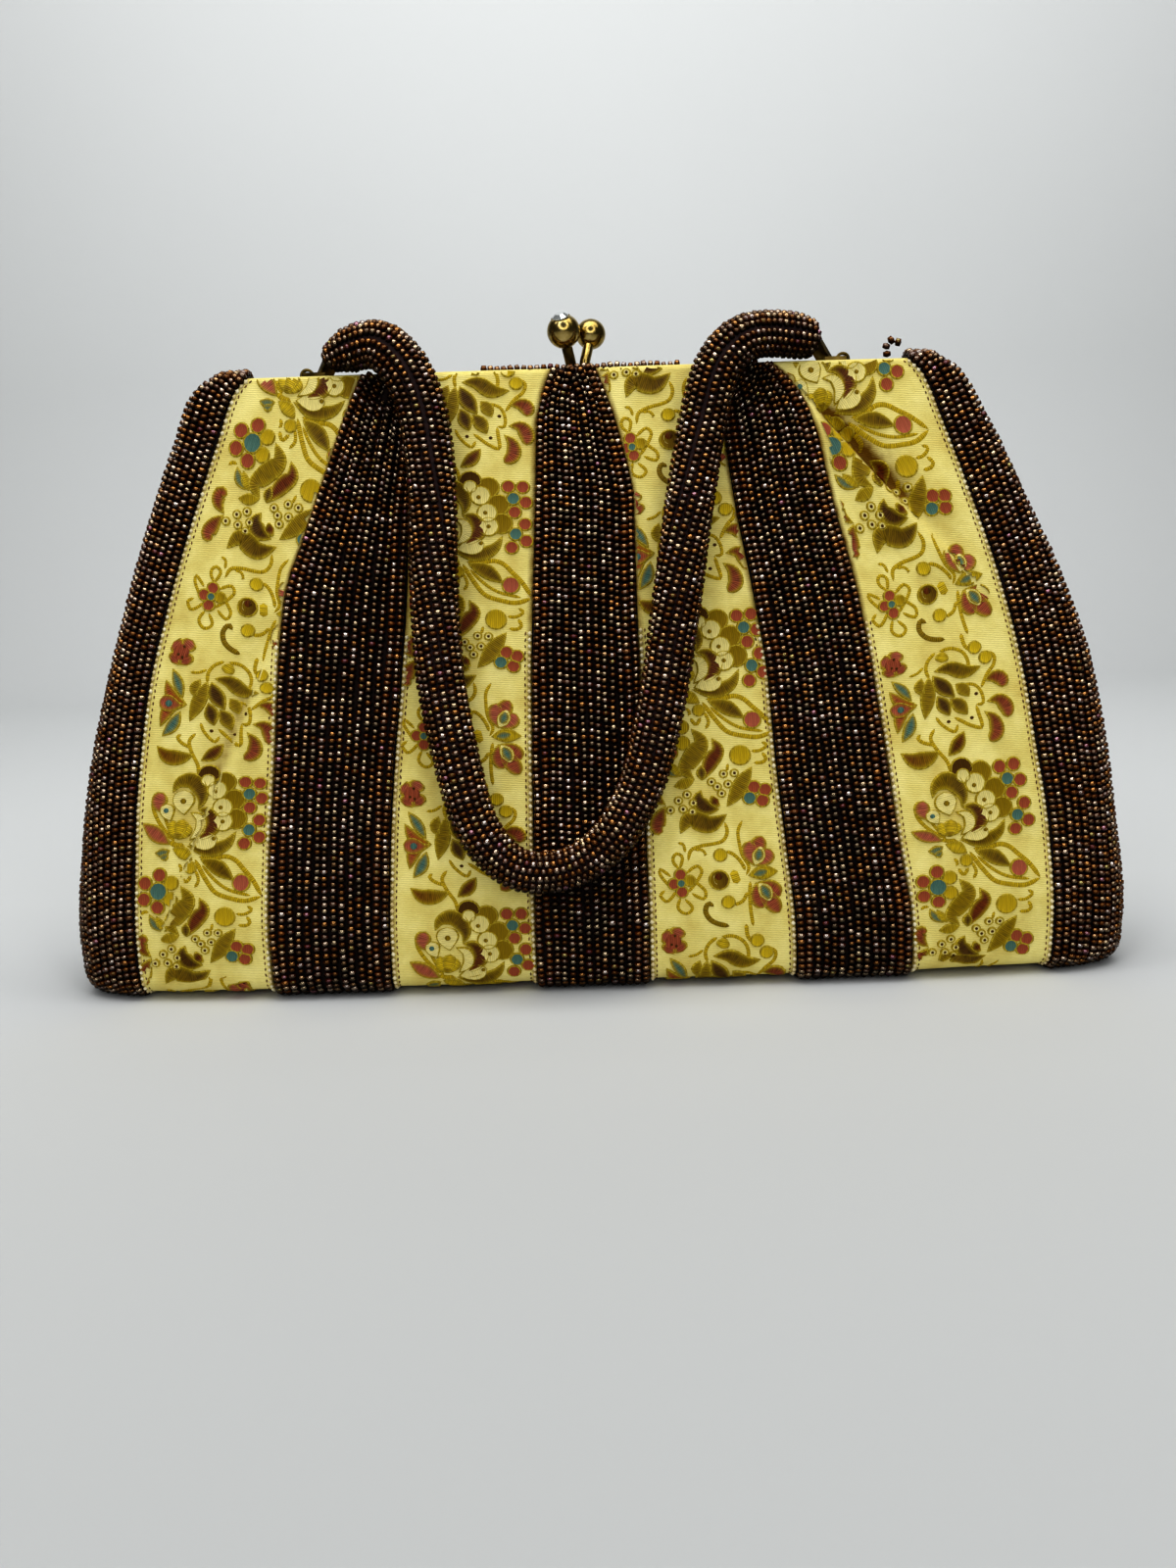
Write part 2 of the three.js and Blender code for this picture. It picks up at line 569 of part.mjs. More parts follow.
// The cut stone, or the hollow it sits in when it is grown by a gap
function stoneGeometry(gap, edgeGap) {
  const tableHigh = STONE.edge + STONE.crown + gap;
  const profile = [
    new THREE.Vector2(0, -STONE.pavilion - gap),
    new THREE.Vector2(STONE.girdle + gap, -edgeGap),
    new THREE.Vector2(STONE.girdle + gap, STONE.edge + edgeGap),
    new THREE.Vector2(STONE.table + gap, tableHigh),
    new THREE.Vector2(0, tableHigh),
  ];
  const stone = new THREE.LatheGeometry(profile, STONE.facets);
  stone.rotateX(Math.PI / 2);
  stone.translate(0, 0, BACK_BALL.radius - STONE.sink);
  stone.rotateX(THREE.MathUtils.degToRad(SEAT.towardsFront));
  stone.rotateY(-THREE.MathUtils.degToRad(SEAT.towardsLeft));
  stone.translate(BACK_BALL.x, BACK_BALL.y, BACK_BALL.z);
  return stone;
}

addMesh('frame_front', toGeometry(joined([framePlate(-1), ...snapParts(FRONT_BALL)])), brass);
const backHalf = joined([framePlate(1), ...snapParts(BACK_BALL), lugPlate(-1), lugPlate(1)]);
const stoneSeat = toSolid(stoneGeometry(SEAT.gap, SEAT.edgeGap));
addMesh('frame_back', toGeometry(backHalf.subtract(stoneSeat)), brass);
addMesh('snap_stone', stoneGeometry(0, 0), crystal);

for (const sign of [-1, 1]) {
  const pin = new THREE.CylinderGeometry(HINGE.pin, HINGE.pin, HINGE.pinLong, FACETS.pin);
  pin.translate(sign * HINGE.x, 0, 0);
  addMesh(sign < 0 ? 'hinge_pin_left' : 'hinge_pin_right', pin, oldBrass).position.z = HINGE.z;
}

// Strap
function rimDepth(z) {
  const step = 0.5;
  let along = 0;
  while (along < WALL_ALONG[CURL_ROW] && wallValue('z', along) > z) {
    along += step;
  }
  return wallValue('depth', along);
}

function strapPoint(row) {
  return new THREE.Vector3(row.x, -rimDepth(row.z) - row.lift, row.z);
}

const strapPath = new THREE.CatmullRomCurve3(STRAP_ROWS.map(strapPoint), false, 'centripetal');
const strapWidth = new THREE.CatmullRomCurve3(STRAP_ROWS.map((row, i) => new THREE.Vector3(i, row.wide, 0)));
const FACE_LEAN = 0.16;
const faceNormal = new THREE.Vector3(0, -1, FACE_LEAN).normalize();

function strapRings() {
  const rings = [];
  for (let i = 0; i <= STRAP_STEPS; i += 1) {
    const t = strapPath.getUtoTmapping(i / STRAP_STEPS);
    const middle = strapPath.getPoint(t);
    const run = strapPath.getTangent(t);
    const across = new THREE.Vector3().crossVectors(run, faceNormal).normalize();
    const through = new THREE.Vector3().crossVectors(across, run).normalize();
    const halfWide = strapWidth.getPoint(t).y / 2;
    const ring = [];
    for (let k = 0; k < STRAP_SIDES; k += 1) {
      const turn = (Math.PI * 2 * k) / STRAP_SIDES;
      ring.push(middle.clone()
        .addScaledVector(across, halfWide * Math.cos(turn))
        .addScaledVector(through, (STRAP_THICK / 2) * Math.sin(turn)));
    }
    rings.push({ middle, ring });
  }
  return rings;
}

function strapGeometry() {
  const places = [];
  const rings = strapRings();
  const triangle = (a, b, c) => places.push(...a.toArray(), ...b.toArray(), ...c.toArray());
  for (let k = 0; k < STRAP_SIDES; k += 1) {
    const next = (k + 1) % STRAP_SIDES;
    for (let i = 0; i < STRAP_STEPS; i += 1) {
      const near = rings[i].ring;
      const far = rings[i + 1].ring;
      triangle(near[k], far[next], near[next]);
      triangle(near[k], far[k], far[next]);
    }
    const first = rings[0];
    const last = rings[STRAP_STEPS];
    triangle(first.middle, first.ring[k], first.ring[next]);
    triangle(last.middle, last.ring[next], last.ring[k]);
  }
  const loose = new THREE.BufferGeometry();
  loose.setAttribute('position', new THREE.Float32BufferAttribute(places, 3));
  return mergeVertices(loose, 1e-4);
}

// Hooks: a flat loop through each lug's hole, with a tab that runs into the end of the strap
function slab(from, to, wide, thick) {
  const run = new THREE.Vector3().subVectors(to, from);
  const box = new THREE.BoxGeometry(run.length(), wide, thick);
  const flatAcross = new THREE.Vector3(-run.y, run.x, 0).normalize();
  const upright = new THREE.Vector3().crossVectors(run.clone().normalize(), flatAcross);
  const turn = new THREE.Matrix4().makeBasis(run.clone().normalize(), flatAcross, upright);
  box.applyMatrix4(turn);
  box.translate((from.x + to.x) / 2, (from.y + to.y) / 2, (from.z + to.z) / 2);
  return box;
}

function hookTab(sign, grow) {
  const start = new THREE.Vector3(sign * (LUG.x - HOOK.reach), LUG.y, LUG.z);
  const end = strapPath.getPoint(sign < 0 ? HOOK.aim : 1 - HOOK.aim);
  const run = new THREE.Vector3().subVectors(end, start).setLength(HOOK.tabLong + grow);
  return slab(start, start.clone().add(run), HOOK.tabWide + 2 * grow, HOOK.tabThick + 2 * grow);
}

function hookGeometry(sign) {
  const at = (inward, y) => new THREE.Vector3(sign * (LUG.x - inward), LUG.y + y, LUG.z);
  const half = HOOK.halfWide;
  const over = HOOK.bar / 2;
  const loop = [
    slab(at(0, -half - over), at(0, half + over), HOOK.bar, HOOK.bar),
    slab(at(HOOK.reach, -half - over), at(HOOK.reach, half + over), HOOK.bar, HOOK.bar),
    slab(at(-over, -half), at(HOOK.reach + over, -half), HOOK.bar, HOOK.bar),
    slab(at(-over, half), at(HOOK.reach + over, half), HOOK.bar, HOOK.bar),
  ];
  return toGeometry(joined([...loop, hookTab(sign, 0)]));
}

let strap = toSolid(strapGeometry());
for (const sign of [-1, 1]) {
  strap = strap.subtract(toSolid(hookTab(sign, HOOK.slot)));
  addMesh(sign < 0 ? 'strap_hook_left' : 'strap_hook_right', hookGeometry(sign), oldBrass);
}
addMesh('strap', toGeometry(strap), beads);

// String of beads on the front rim
const rimPath = new THREE.LineCurve3(
  new THREE.Vector3(MOUTH_BEADS.left, MOUTH_BEADS.y, MOUTH_BEADS.z),
  new THREE.Vector3(MOUTH_BEADS.right, MOUTH_BEADS.y, MOUTH_BEADS.z),
);
const rimRound = new THREE.Shape();
rimRound.absarc(0, 0, MOUTH_BEADS.radius, 0, Math.PI * 2, false);
const rimTube = new THREE.ExtrudeGeometry(rimRound, {
  steps: MOUTH_BEADS.steps, curveSegments: MOUTH_BEADS.sides / 2, extrudePath: rimPath,
});
addMesh('mouth_beads', rimTube, beads);

export default bag;
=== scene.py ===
import math

import bmesh
import bpy
import numpy as np
from mathutils import Matrix, Vector


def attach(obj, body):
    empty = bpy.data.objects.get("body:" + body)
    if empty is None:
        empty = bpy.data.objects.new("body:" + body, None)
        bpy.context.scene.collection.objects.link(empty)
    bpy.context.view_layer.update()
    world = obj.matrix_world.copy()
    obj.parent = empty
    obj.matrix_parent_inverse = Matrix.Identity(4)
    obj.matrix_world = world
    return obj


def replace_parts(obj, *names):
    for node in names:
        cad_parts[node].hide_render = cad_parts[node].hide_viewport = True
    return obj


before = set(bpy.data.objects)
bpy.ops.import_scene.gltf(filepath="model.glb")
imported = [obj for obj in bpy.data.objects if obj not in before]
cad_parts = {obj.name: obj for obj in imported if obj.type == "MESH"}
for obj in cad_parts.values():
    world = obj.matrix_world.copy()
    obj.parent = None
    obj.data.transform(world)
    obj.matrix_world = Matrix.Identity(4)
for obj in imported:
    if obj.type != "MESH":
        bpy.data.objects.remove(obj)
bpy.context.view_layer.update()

# Ribbons. Each is one woven flower ribbon, 38 mm wide, that runs from the front mouth down under the base and
# up to the back mouth. It is cream satin with raised silk flowers, sewn along both edges to the beadwork.
MM = 0.001
RIBBON_THICK = 1.2
STRIP_GAP = 0.3
SIDE_ROUNDNESS = 5.5
CLOTH_STEP = 1.5
EDGE_SHADE = 0.9

# The wall from the mouth to the middle of the base: height, half depth, reach to the left and right, and the
# distances from the middle to the edges between the strips, first on the left and then on the right
WALL_COLUMNS = ["z", "depth", "left", "right", "left_1", "left_2", "left_3", "left_4", "right_1", "right_2",
                "right_3", "right_4"]
WALL_ROWS = np.array([
    (170.6, 6.0, 99.0, 99.5, 6.2, 42.5, 58.2, 90.2, 5.5, 39.0, 53.5, 91.6),
    (166.6, 6.7, 105.0, 105.5, 8.0, 43.0, 60.3, 94.1, 7.0, 39.4, 58.0, 95.6),
    (155.6, 8.5, 110.0, 112.3, 10.8, 44.5, 64.6, 98.4, 10.7, 40.2, 64.4, 100.2),
    (132.6, 12.4, 119.0, 123.4, 12.0, 47.0, 73.6, 106.9, 14.9, 42.9, 69.7, 108.4),
    (109.6, 16.2, 127.0, 134.0, 13.4, 48.3, 82.0, 114.6, 14.9, 46.9, 75.3, 115.7),
    (86.6, 20.0, 134.0, 142.0, 14.5, 50.6, 84.5, 120.8, 15.2, 50.4, 79.1, 121.2),
    (63.6, 23.9, 140.0, 146.4, 15.0, 53.2, 86.2, 124.5, 15.3, 51.8, 82.3, 124.5),
    (40.6, 27.6, 143.7, 149.2, 15.5, 55.0, 88.3, 126.4, 15.5, 54.1, 85.0, 127.6),
    (17.0, 30.2, 146.0, 151.5, 15.7, 56.1, 89.4, 127.5, 15.7, 56.3, 88.4, 128.6),
    (6.0, 29.6, 145.6, 151.1, 15.7, 56.2, 89.4, 127.3, 15.7, 56.6, 88.8, 128.4),
    (2.4, 26.8, 143.6, 148.8, 15.7, 56.2, 89.4, 126.8, 15.7, 56.6, 88.8, 127.9),
    (1.8, 23.0, 141.4, 146.4, 15.7, 56.2, 89.4, 126.3, 15.7, 56.6, 88.8, 127.4),
    (1.8, 0.0, 141.4, 146.4, 15.7, 56.2, 89.4, 126.3, 15.7, 56.6, 88.8, 127.4),
])
wall_steps = np.hypot(np.diff(WALL_ROWS[:, 0]), np.diff(WALL_ROWS[:, 1]))
WALL_ALONG = np.concatenate([[0.0], np.cumsum(wall_steps)])
WALL_LENGTH = WALL_ALONG[-1]
STRIP_LENGTH = 2 * WALL_LENGTH


def wall_value(column, way):
    """A column of the wall at a distance along the strip from the front mouth, without overshooting."""
    values = WALL_ROWS[:, WALL_COLUMNS.index(column)]
    rises = np.diff(values) / np.diff(WALL_ALONG)
    same_sign = rises[:-1] * rises[1:] > 0
    total = np.where(same_sign, rises[:-1] + rises[1:], 1.0)
    inner = np.where(same_sign, 2 * rises[:-1] * rises[1:] / total, 0.0)
    slopes = np.concatenate([rises[:1], inner, rises[-1:]])
    along = np.clip(np.minimum(way, STRIP_LENGTH - way), 0, WALL_LENGTH)
    i = np.clip(np.searchsorted(WALL_ALONG, along, side="right") - 1, 0, len(values) - 2)
    step = WALL_ALONG[i + 1] - WALL_ALONG[i]
    t = (along - WALL_ALONG[i]) / step
    start = values[i] * (2 * t**3 - 3 * t**2 + 1) + slopes[i] * step * (t**3 - 2 * t**2 + t)
    end = values[i + 1] * (3 * t**2 - 2 * t**3) + slopes[i + 1] * step * (t**3 - t**2)
    return start + end


def wall_point(way, x):
    half = np.where(x < 0, wall_value("left", way), wall_value("right", way))
    share = np.minimum(1, np.abs(x) / half)
    side = np.where(way < WALL_LENGTH, -1, 1)
    y = side * wall_value("depth", way) * (1 - share**SIDE_ROUNDNESS) ** (1 / SIDE_ROUNDNESS)
    return np.stack([x, y, wall_value("z", way)], axis=-1)


def unit(vectors):
    return vectors / np.linalg.norm(vectors, axis=-1, keepdims=True)


def wall_outward(way, x):
    step = 0.1
    near = np.clip(way, step, STRIP_LENGTH - step)
    along = wall_point(near + step, x) - wall_point(near - step, x)
    across = wall_point(near, x + step) - wall_point(near, x - step)
    return unit(np.cross(along, across))


def edge_x(edge, way):
    """Edges are numbered outwards from the middle, with a minus on the left."""
    side = "left" if edge < 0 else "right"
    return np.sign(edge) * wall_value(f"{side}_{abs(edge)}", way)


# Creases of the front: each runs from one point of the face to another and lifts one side over the other.
# It starts and ends over a share of its length, and its valley ends earlier.
FOLDS = {
    "ribbon_1": {"start": (-103, 58.6), "end": (-82, 107.6), "height": 1.1, "width": 6, "valley": 1.5,
                 "stain_and_shade": 0.3, "deep": 0.0, "tuck": 0.0},
    "ribbon_4": {"start": (64, 159.6), "end": (108, 109.6), "height": 1.6, "width": 7, "valley": 2.0,
                 "stain_and_shade": 1.0, "deep": 3.6, "tuck": 6.0},
}
FOLD_SHARPNESS = 1.2
FOLD_START = (-0.05, 0.15)
FOLD_END = (0.8, 1.0)
VALLEY_WIDE = 1.4
VALLEY_END = (0.4, 0.7)

# Ripples of the cloth: height, reach of the wave down and across, and where it starts
RIPPLES = [(0.12, 7.3, 11.0, 0.0), (0.072, 4.1, -6.7, 1.0)]


def smooth_step(value, low, high):
    t = np.clip((value - low) / (high - low), 0, 1)
    return t * t * (3 - 2 * t)


def swell(value, rise, fall):
    """Rises from 0 to 1 over the first stretch and falls back over the second."""
    return smooth_step(value, *rise) * (1 - smooth_step(value, *fall))


def bell(value, middle, wide):
    return np.exp(-(((value - middle) / wide) ** 2))


def fold_place(ribbon, points):
    """How far each point is to the side of the ribbon's crease, and its share of the way along it."""
    start = np.array(FOLDS[ribbon]["start"], float)
    run = np.array(FOLDS[ribbon]["end"], float) - start
    long = np.linalg.norm(run)
    run /= long
    from_start = points[..., [0, 2]] - start
    across = from_start[..., 1] * run[0] - from_start[..., 0] * run[1]
    return across, from_start @ run / long


def cloth_lift(ribbon, points):
    """Height of the cloth over the plain wall: ripples everywhere, and the crease where there is one."""
    x, z = points[..., 0], points[..., 2]
    ripple = sum(high * np.sin(z / down + x / aside + begin) for high, down, aside, begin in RIPPLES)
    if ribbon not in FOLDS:
        return ripple
    fold = FOLDS[ribbon]
    across, past = fold_place(ribbon, points)
    shape = -np.tanh(across / FOLD_SHARPNESS) * bell(across, 0, fold["width"])
    valley = bell(across, fold["valley"], VALLEY_WIDE) * (1 - smooth_step(past, *VALLEY_END))
    front = points[..., 1] < 0
    lift = shape * fold["height"] - fold["deep"] * valley
    return ripple + lift * swell(past, FOLD_START, FOLD_END) * front


def placed(name, mesh):
    """An object for a finished mesh, which rides on the bag."""
    piece = bpy.data.objects.new(name, mesh)
    bpy.context.collection.objects.link(piece)
    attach(piece, "root")
    return piece


def store(mesh, key, values):
    """Keeps a number, a vector or a colour for each point of a mesh."""
    kinds = {1: ("FLOAT", "value"), 3: ("FLOAT_VECTOR", "vector"), 4: ("FLOAT_COLOR", "color")}
    kind, field = kinds[values[0].size]
    mesh.attributes.new(key, kind, "POINT").data.foreach_set(field, np.ascontiguousarray(values).ravel())


def make_piece(name, places, faces, material, attributes=None):
    """A piece from places in millimetres, faces of four corners and point attributes."""
    mesh = bpy.data.meshes.new(name)
    mesh.from_pydata((np.asarray(places) * MM).tolist(), [], faces.tolist())
    for key, values in (attributes or {}).items():
        store(mesh, key, values)
    mesh.shade_smooth()
    mesh.materials.append(material)
    return placed(name, mesh)


def grid_faces(rows, columns, start=0):
    """Quads of a grid whose rows run down and columns run right, seen from outside."""
    index = start + np.arange(rows * columns).reshape(rows, columns)
    corners = [index[:-1, :-1], index[1:, :-1], index[1:, 1:], index[:-1, 1:]]
    return np.stack(corners, axis=-1).reshape(-1, 4)


def shell_faces(rows, columns):
    """Faces of a closed wall whose outer grid comes first and whose inner grid follows it."""
    count = rows * columns
    index = np.arange(count).reshape(rows, columns)
    outer = grid_faces(rows, columns)
    inner = grid_faces(rows, columns, count)[:, ::-1]
    left, right = index[:, 0], index[:, -1]
    top, bottom = index[0], index[-1]
    rims = [
        np.stack([left[:-1], left[:-1] + count, left[1:] + count, left[1:]], axis=-1),
        np.stack([right[:-1], right[1:], right[1:] + count, right[:-1] + count], axis=-1),
        np.stack([top[:-1], top[1:], top[1:] + count, top[:-1] + count], axis=-1),
        np.stack([bottom[:-1], bottom[:-1] + count, bottom[1:] + count, bottom[1:]], axis=-1),
    ]
    return np.concatenate([outer, inner, *rims])


def colour(hex_code):
    """Linear colour of an sRGB hex code."""
    parts = [int(hex_code[i:i + 2], 16) / 255 for i in (1, 3, 5)]
    return [p / 12.92 if p <= 0.04045 else ((p + 0.055) / 1.055) ** 2.4 for p in parts] + [1.0]


def fill(tree, node, inputs):
    """Links the inputs that are given a socket, and sets the others."""
    for key, value in inputs.items():
        if isinstance(value, bpy.types.NodeSocket):
            tree.links.new(value, node.inputs[key])
        else:
            node.inputs[key].default_value = value


def add(tree, kind, inputs=None, ramp=None, **settings):
    """Adds a node with its settings, fills its inputs, and sets the stops of a colour ramp."""
    node = tree.nodes.new(kind)
    for key, value in settings.items():
        setattr(node, key, value)
    fill(tree, node, inputs or {})
    if ramp:
        stops = node.color_ramp.elements
        while len(stops) < len(ramp):
            stops.new(1.0)
        for stop, (place, hex_code) in zip(stops, ramp):
            stop.position = place
            stop.color = colour(hex_code)
    return node


def new_material(name):
    """An empty node material, its tree and its Principled shader."""
    material = bpy.data.materials.new(name)
    material.use_nodes = True
    tree = material.node_tree
    return material, tree, tree.nodes["Principled BSDF"]


# Cream satin: a fine grain of cross threads on a soft yellow. Age and handling have left patches about
# 14 mm across and a brown stain along the crease. The crease's valley is also painted dark as the fold's
# shade, and both edges are painted darker as shade under the loops. The threads are drawn at 0.5 mm,
# coarser than the real ones.
STAIN_AND_SHADE_GAIN = 1.7
satin, tree, shader = new_material("ribbon_satin")
cloth = add(tree, "ShaderNodeAttribute", attribute_name="cloth").outputs["Vector"]
stain_and_shade = add(tree, "ShaderNodeAttribute", attribute_name="stain_and_shade").outputs["Fac"]
patches = add(tree, "ShaderNodeTexNoise", {"Vector": cloth, "Scale": 0.07, "Detail": 5.0, "Roughness": 0.6})
ground = add(tree, "ShaderNodeValToRGB", {"Fac": patches.outputs["Fac"]},
             ramp=[(0.3, "#dcc873"), (0.48, "#ebdd8a"), (0.62, "#f6ea9c"), (0.75, "#ebde8e")])
stain_and_shade_cloud = add(tree, "ShaderNodeTexNoise", {"Vector": cloth, "Scale": 0.35, "Detail": 4.0})
stain_and_shade_parts = add(tree, "ShaderNodeMath", {0: stain_and_shade, 1: stain_and_shade_cloud.outputs["Fac"]}, operation="MULTIPLY")
stain_and_shade_share = add(tree, "ShaderNodeMath", {0: stain_and_shade_parts.outputs[0], 1: STAIN_AND_SHADE_GAIN}, operation="MULTIPLY",
                  use_clamp=True)
# The brown mix carries both the stain and the painted shade of the crease and the edges
stained_and_shaded = add(tree, "ShaderNodeMix", {"Factor": stain_and_shade_share.outputs[0], "A": ground.outputs["Color"],
                                      "B": colour("#84601a")}, data_type="RGBA")
threads = add(tree, "ShaderNodeTexWave", {"Vector": cloth, "Scale": 0.63, "Distortion": 2.5, "Detail": 3.0,
                                          "Detail Scale": 2.0}, bands_direction="Y")
thread_shade = add(tree, "ShaderNodeMapRange",
                   {"Value": threads.outputs["Fac"], "To Min": 0.87, "To Max": 1.05})
woven = add(tree, "ShaderNodeMix", {"Factor": 1.0, "A": stained_and_shaded.outputs[2], "B": thread_shade.outputs[0]},
            data_type="RGBA", blend_type="MULTIPLY")
weave_bump = add(tree, "ShaderNodeBump",
                 {"Height": threads.outputs["Fac"], "Strength": 0.35, "Distance": 0.25 * MM})
fill(tree, shader, {"Base Color": woven.outputs[2], "Normal": weave_bump.outputs[0], "Roughness": 0.6,
                    "Specular IOR Level": 0.15})

# Silk floss in satin stitch: close parallel threads across each petal, drawn at 0.5 mm. Their shine is
# painted into the colour as fine light and dark stripes, a painted sheen, and also bumped. A gold cord is
# couched round each petal. Leaves are shaded in their thread colours, gold beside the cord and dark along the
# middle, and the flat petals and the cream ones are not (alpha 0).
CORD_ENDS = 0.5
GOLD_ENDS = 1.5
STREAKS_PER_MM = (1.6, 0.25, 0.0)
silk, tree, shader = new_material("ribbon_silk")
floss = add(tree, "ShaderNodeAttribute", attribute_name="silk").outputs
stitch = add(tree, "ShaderNodeAttribute", attribute_name="stitch").outputs["Vector"]
parts = add(tree, "ShaderNodeSeparateXYZ", {"Vector": stitch})
stripes = add(tree, "ShaderNodeTexWave", {"Vector": stitch, "Scale": 0.6, "Distortion": 1.5, "Detail": 2.0},
              bands_direction="X")
# Painted sheen: light and dark stripes of thread shine multiplied into the floss colour
shade = add(tree, "ShaderNodeMapRange", {"Value": stripes.outputs["Fac"], "To Min": 0.68, "To Max": 1.12})
along_stitches = add(tree, "ShaderNodeVectorMath", {0: stitch, 1: STREAKS_PER_MM}, operation="MULTIPLY")
streaks = add(tree, "ShaderNodeTexNoise", {"Vector": along_stitches.outputs[0], "Scale": 1.0, "Detail": 2.0})
streak_shade = add(tree, "ShaderNodeMapRange", {"Value": streaks.outputs["Fac"], "From Min": 0.3,
                                                "From Max": 0.7, "To Min": 0.65, "To Max": 1.3})
both_shades = add(tree, "ShaderNodeMath", {0: shade.outputs[0], 1: streak_shade.outputs[0]},
                  operation="MULTIPLY")
strength = add(tree, "ShaderNodeMapRange", {"Value": floss["Alpha"], "To Min": 0.4, "To Max": 1.0})
striped = add(tree, "ShaderNodeMix", {"Factor": strength.outputs[0], "A": floss["Color"],
                                      "B": both_shades.outputs[0]}, data_type="RGBA", blend_type="MULTIPLY")
beside_cord = add(tree, "ShaderNodeMapRange", {"Value": parts.outputs["Z"], "From Min": CORD_ENDS,
                                               "From Max": GOLD_ENDS, "To Min": 0.7, "To Max": 0.0})
shading = add(tree, "ShaderNodeMath", {0: beside_cord.outputs[0], 1: floss["Alpha"]}, operation="MULTIPLY")
golden = add(tree, "ShaderNodeMix", {"Factor": shading.outputs[0], "A": striped.outputs[2],
                                     "B": colour("#a08a10")}, data_type="RGBA")
cord = add(tree, "ShaderNodeValToRGB", {"Fac": streaks.outputs["Fac"]},
           ramp=[(0.3, "#927c12"), (0.7, "#cab43c")])
in_rim = add(tree, "ShaderNodeMath", {0: parts.outputs["Z"], 1: CORD_ENDS}, operation="LESS_THAN")
outlined = add(tree, "ShaderNodeMix", {"Factor": in_rim.outputs[0], "A": golden.outputs[2],
                                       "B": cord.outputs["Color"]}, data_type="RGBA")
stitch_bump = add(tree, "ShaderNodeBump",
                  {"Height": stripes.outputs["Fac"], "Strength": 0.4, "Distance": 0.3 * MM})
fill(tree, shader, {"Base Color": outlined.outputs[2], "Normal": stitch_bump.outputs[0], "Roughness": 0.5,
                    "Specular IOR Level": 0.2})

# The flower pattern, drawn in millimetres: across from the ribbon's middle and down from the middle of
# the fan flower. Each row is a kind of stitched shape, its layer, its first and last colour, its width and
# its points. Discs and dots take one point each, and the other kinds run through all their points.
SILK_COLOURS = {
    "cream": "#e6d88e", "yellow": "#d8bc24", "gold": "#c2a61c", "olive": "#927806", "brown": "#5a3c06",
    "rust": "#74380e", "red": "#a25638", "rose": "#b0644a", "amber": "#b05c14", "teal": "#5a7c70",
}
SILK_RIM = 0.6
LINE_EXTRA = 0.55
FILL_EXTRA = 0.35
PATTERN_REPEAT = 126


def gold_line(wide, *points):
    return "line", 0, "gold", "gold", wide, points


FAN_FLOWER = [
    ("disc", 1, "brown", "brown", 5.2, [(1, -11)]),
    ("disc", 1, "olive", "olive", 5.0, [(6, -9.5), (9, -4.5), (10, 1)]),
    ("leaf", 1, "olive", "brown", 2.6, [(10.5, 4.5), (8, 8.5), (3, 10.5), (-3, 9.5)]),
    ("disc", 2, "cream", "cream", 2.8, [(1, -9.5)]),
    ("disc", 2, "cream", "cream", 4.5, [(4, -7), (6, -2), (6.5, 2)]),
    ("drop", 2, "cream", "cream", 4.0, [(-2.5, 9), (2, 8), (5.5, 7)]),
    ("dot", 4, "olive", "olive", 1.2, [(3.5, -6.5), (5.5, -2), (6.5, 2), (4.5, 7)]),
    ("leaf", 2, "olive", "brown", 3.5, [(-8.5, -5), (-7, -8), (-3.5, -9), (-1, -7), (0, -3.5), (-1, -1)]),
    ("drop", 3, "cream", "cream", 5.0, [(-4.5, 1), (-5, -2.5), (-5.2, -6.2)]),
    ("dot", 5, "olive", "olive", 1.6, [(-5, -3)]),
    ("drop", 3, "cream", "cream", 3.0, [(-8, 3), (-9.2, 0.5), (-9.8, -2)]),
    ("dot", 5, "teal", "teal", 1.4, [(-9.5, 0)]),
    ("leaf", 2, "brown", "rust", 3.2, [(-1, -1), (2, -0.5), (4, 2.5), (2.5, 5.5), (-0.5, 8)]),
    ("leaf", 3, "cream", "cream", 2.0, [(-3, 0), (0, 1.5), (0.5, 4.5), (-2.5, 8)]),
    ("drop", 3, "yellow", "yellow", 2.0, [(-5.5, 8), (-7, 5.5), (-7.5, 2.5)]),
    ("drop", 3, "yellow", "yellow", 2.0, [(-5.5, 8), (-4, 6), (-2.5, 3.5)]),
    ("drop", 4, "yellow", "gold", 2.6, [(-5.5, 8), (-5, 5), (-4.5, 2)]),
    ("drop", 5, "olive", "olive", 1.6, [(-5.5, 8), (-5.5, 5.5)]),
    ("drop", 2, "rose", "rose", 3.3, [(-11, 1), (-12, -2), (-11, -5)]),
    ("leaf", 2, "rose", "rose", 3.2, [(-16, 4), (-13, 6), (-7.5, 9.5)]),
    gold_line(0.8, (-13.5, -4), (-13.5, -0.5), (-11, 4), (-6.5, 8.5)),
    gold_line(0.6, (-10.5, -1), (-10, 1.5), (-8.5, 5), (-6.5, 8.5)),
    ("line", 1, "gold", "gold", 1.2, [(-8, 8.5), (-6, 9.5), (-3.5, 9.5)]),
    ("leaf", 1, "yellow", "gold", 2.2, [(-7, 10.5), (-4, 11.5), (-1, 13.5)]),
]
RED_FLOWERS = [
    ("disc", 1, "red", "red", 2.7, [(11.5, -10), (15.5, -10), (16.5, -5.5), (13.5, -2.5)]),
    ("disc", 1, "red", "red", 2.7, [(16.5, 1), (17, 6), (13, 8)]),
    ("disc", 2, "teal", "teal", 2.7, [(13, -6.5), (14, 4)]),
    ("disc", 1, "red", "red", 2.9, [(-10, 18), (-14, 20.5), (-14, 25), (-10, 27)]),
    ("disc", 1, "gold", "gold", 2.8, [(-6.5, 20), (-6.5, 24.5)]),
    ("disc", 2, "teal", "teal", 4.0, [(-10, 22.5)]),
    ("disc", 1, "red", "red", 2.7, [(12, 38.5), (15, 39.5), (14, 42.5)]),
    ("disc", 2, "teal", "teal", 2.7, [(10.5, 41.5)]),
]
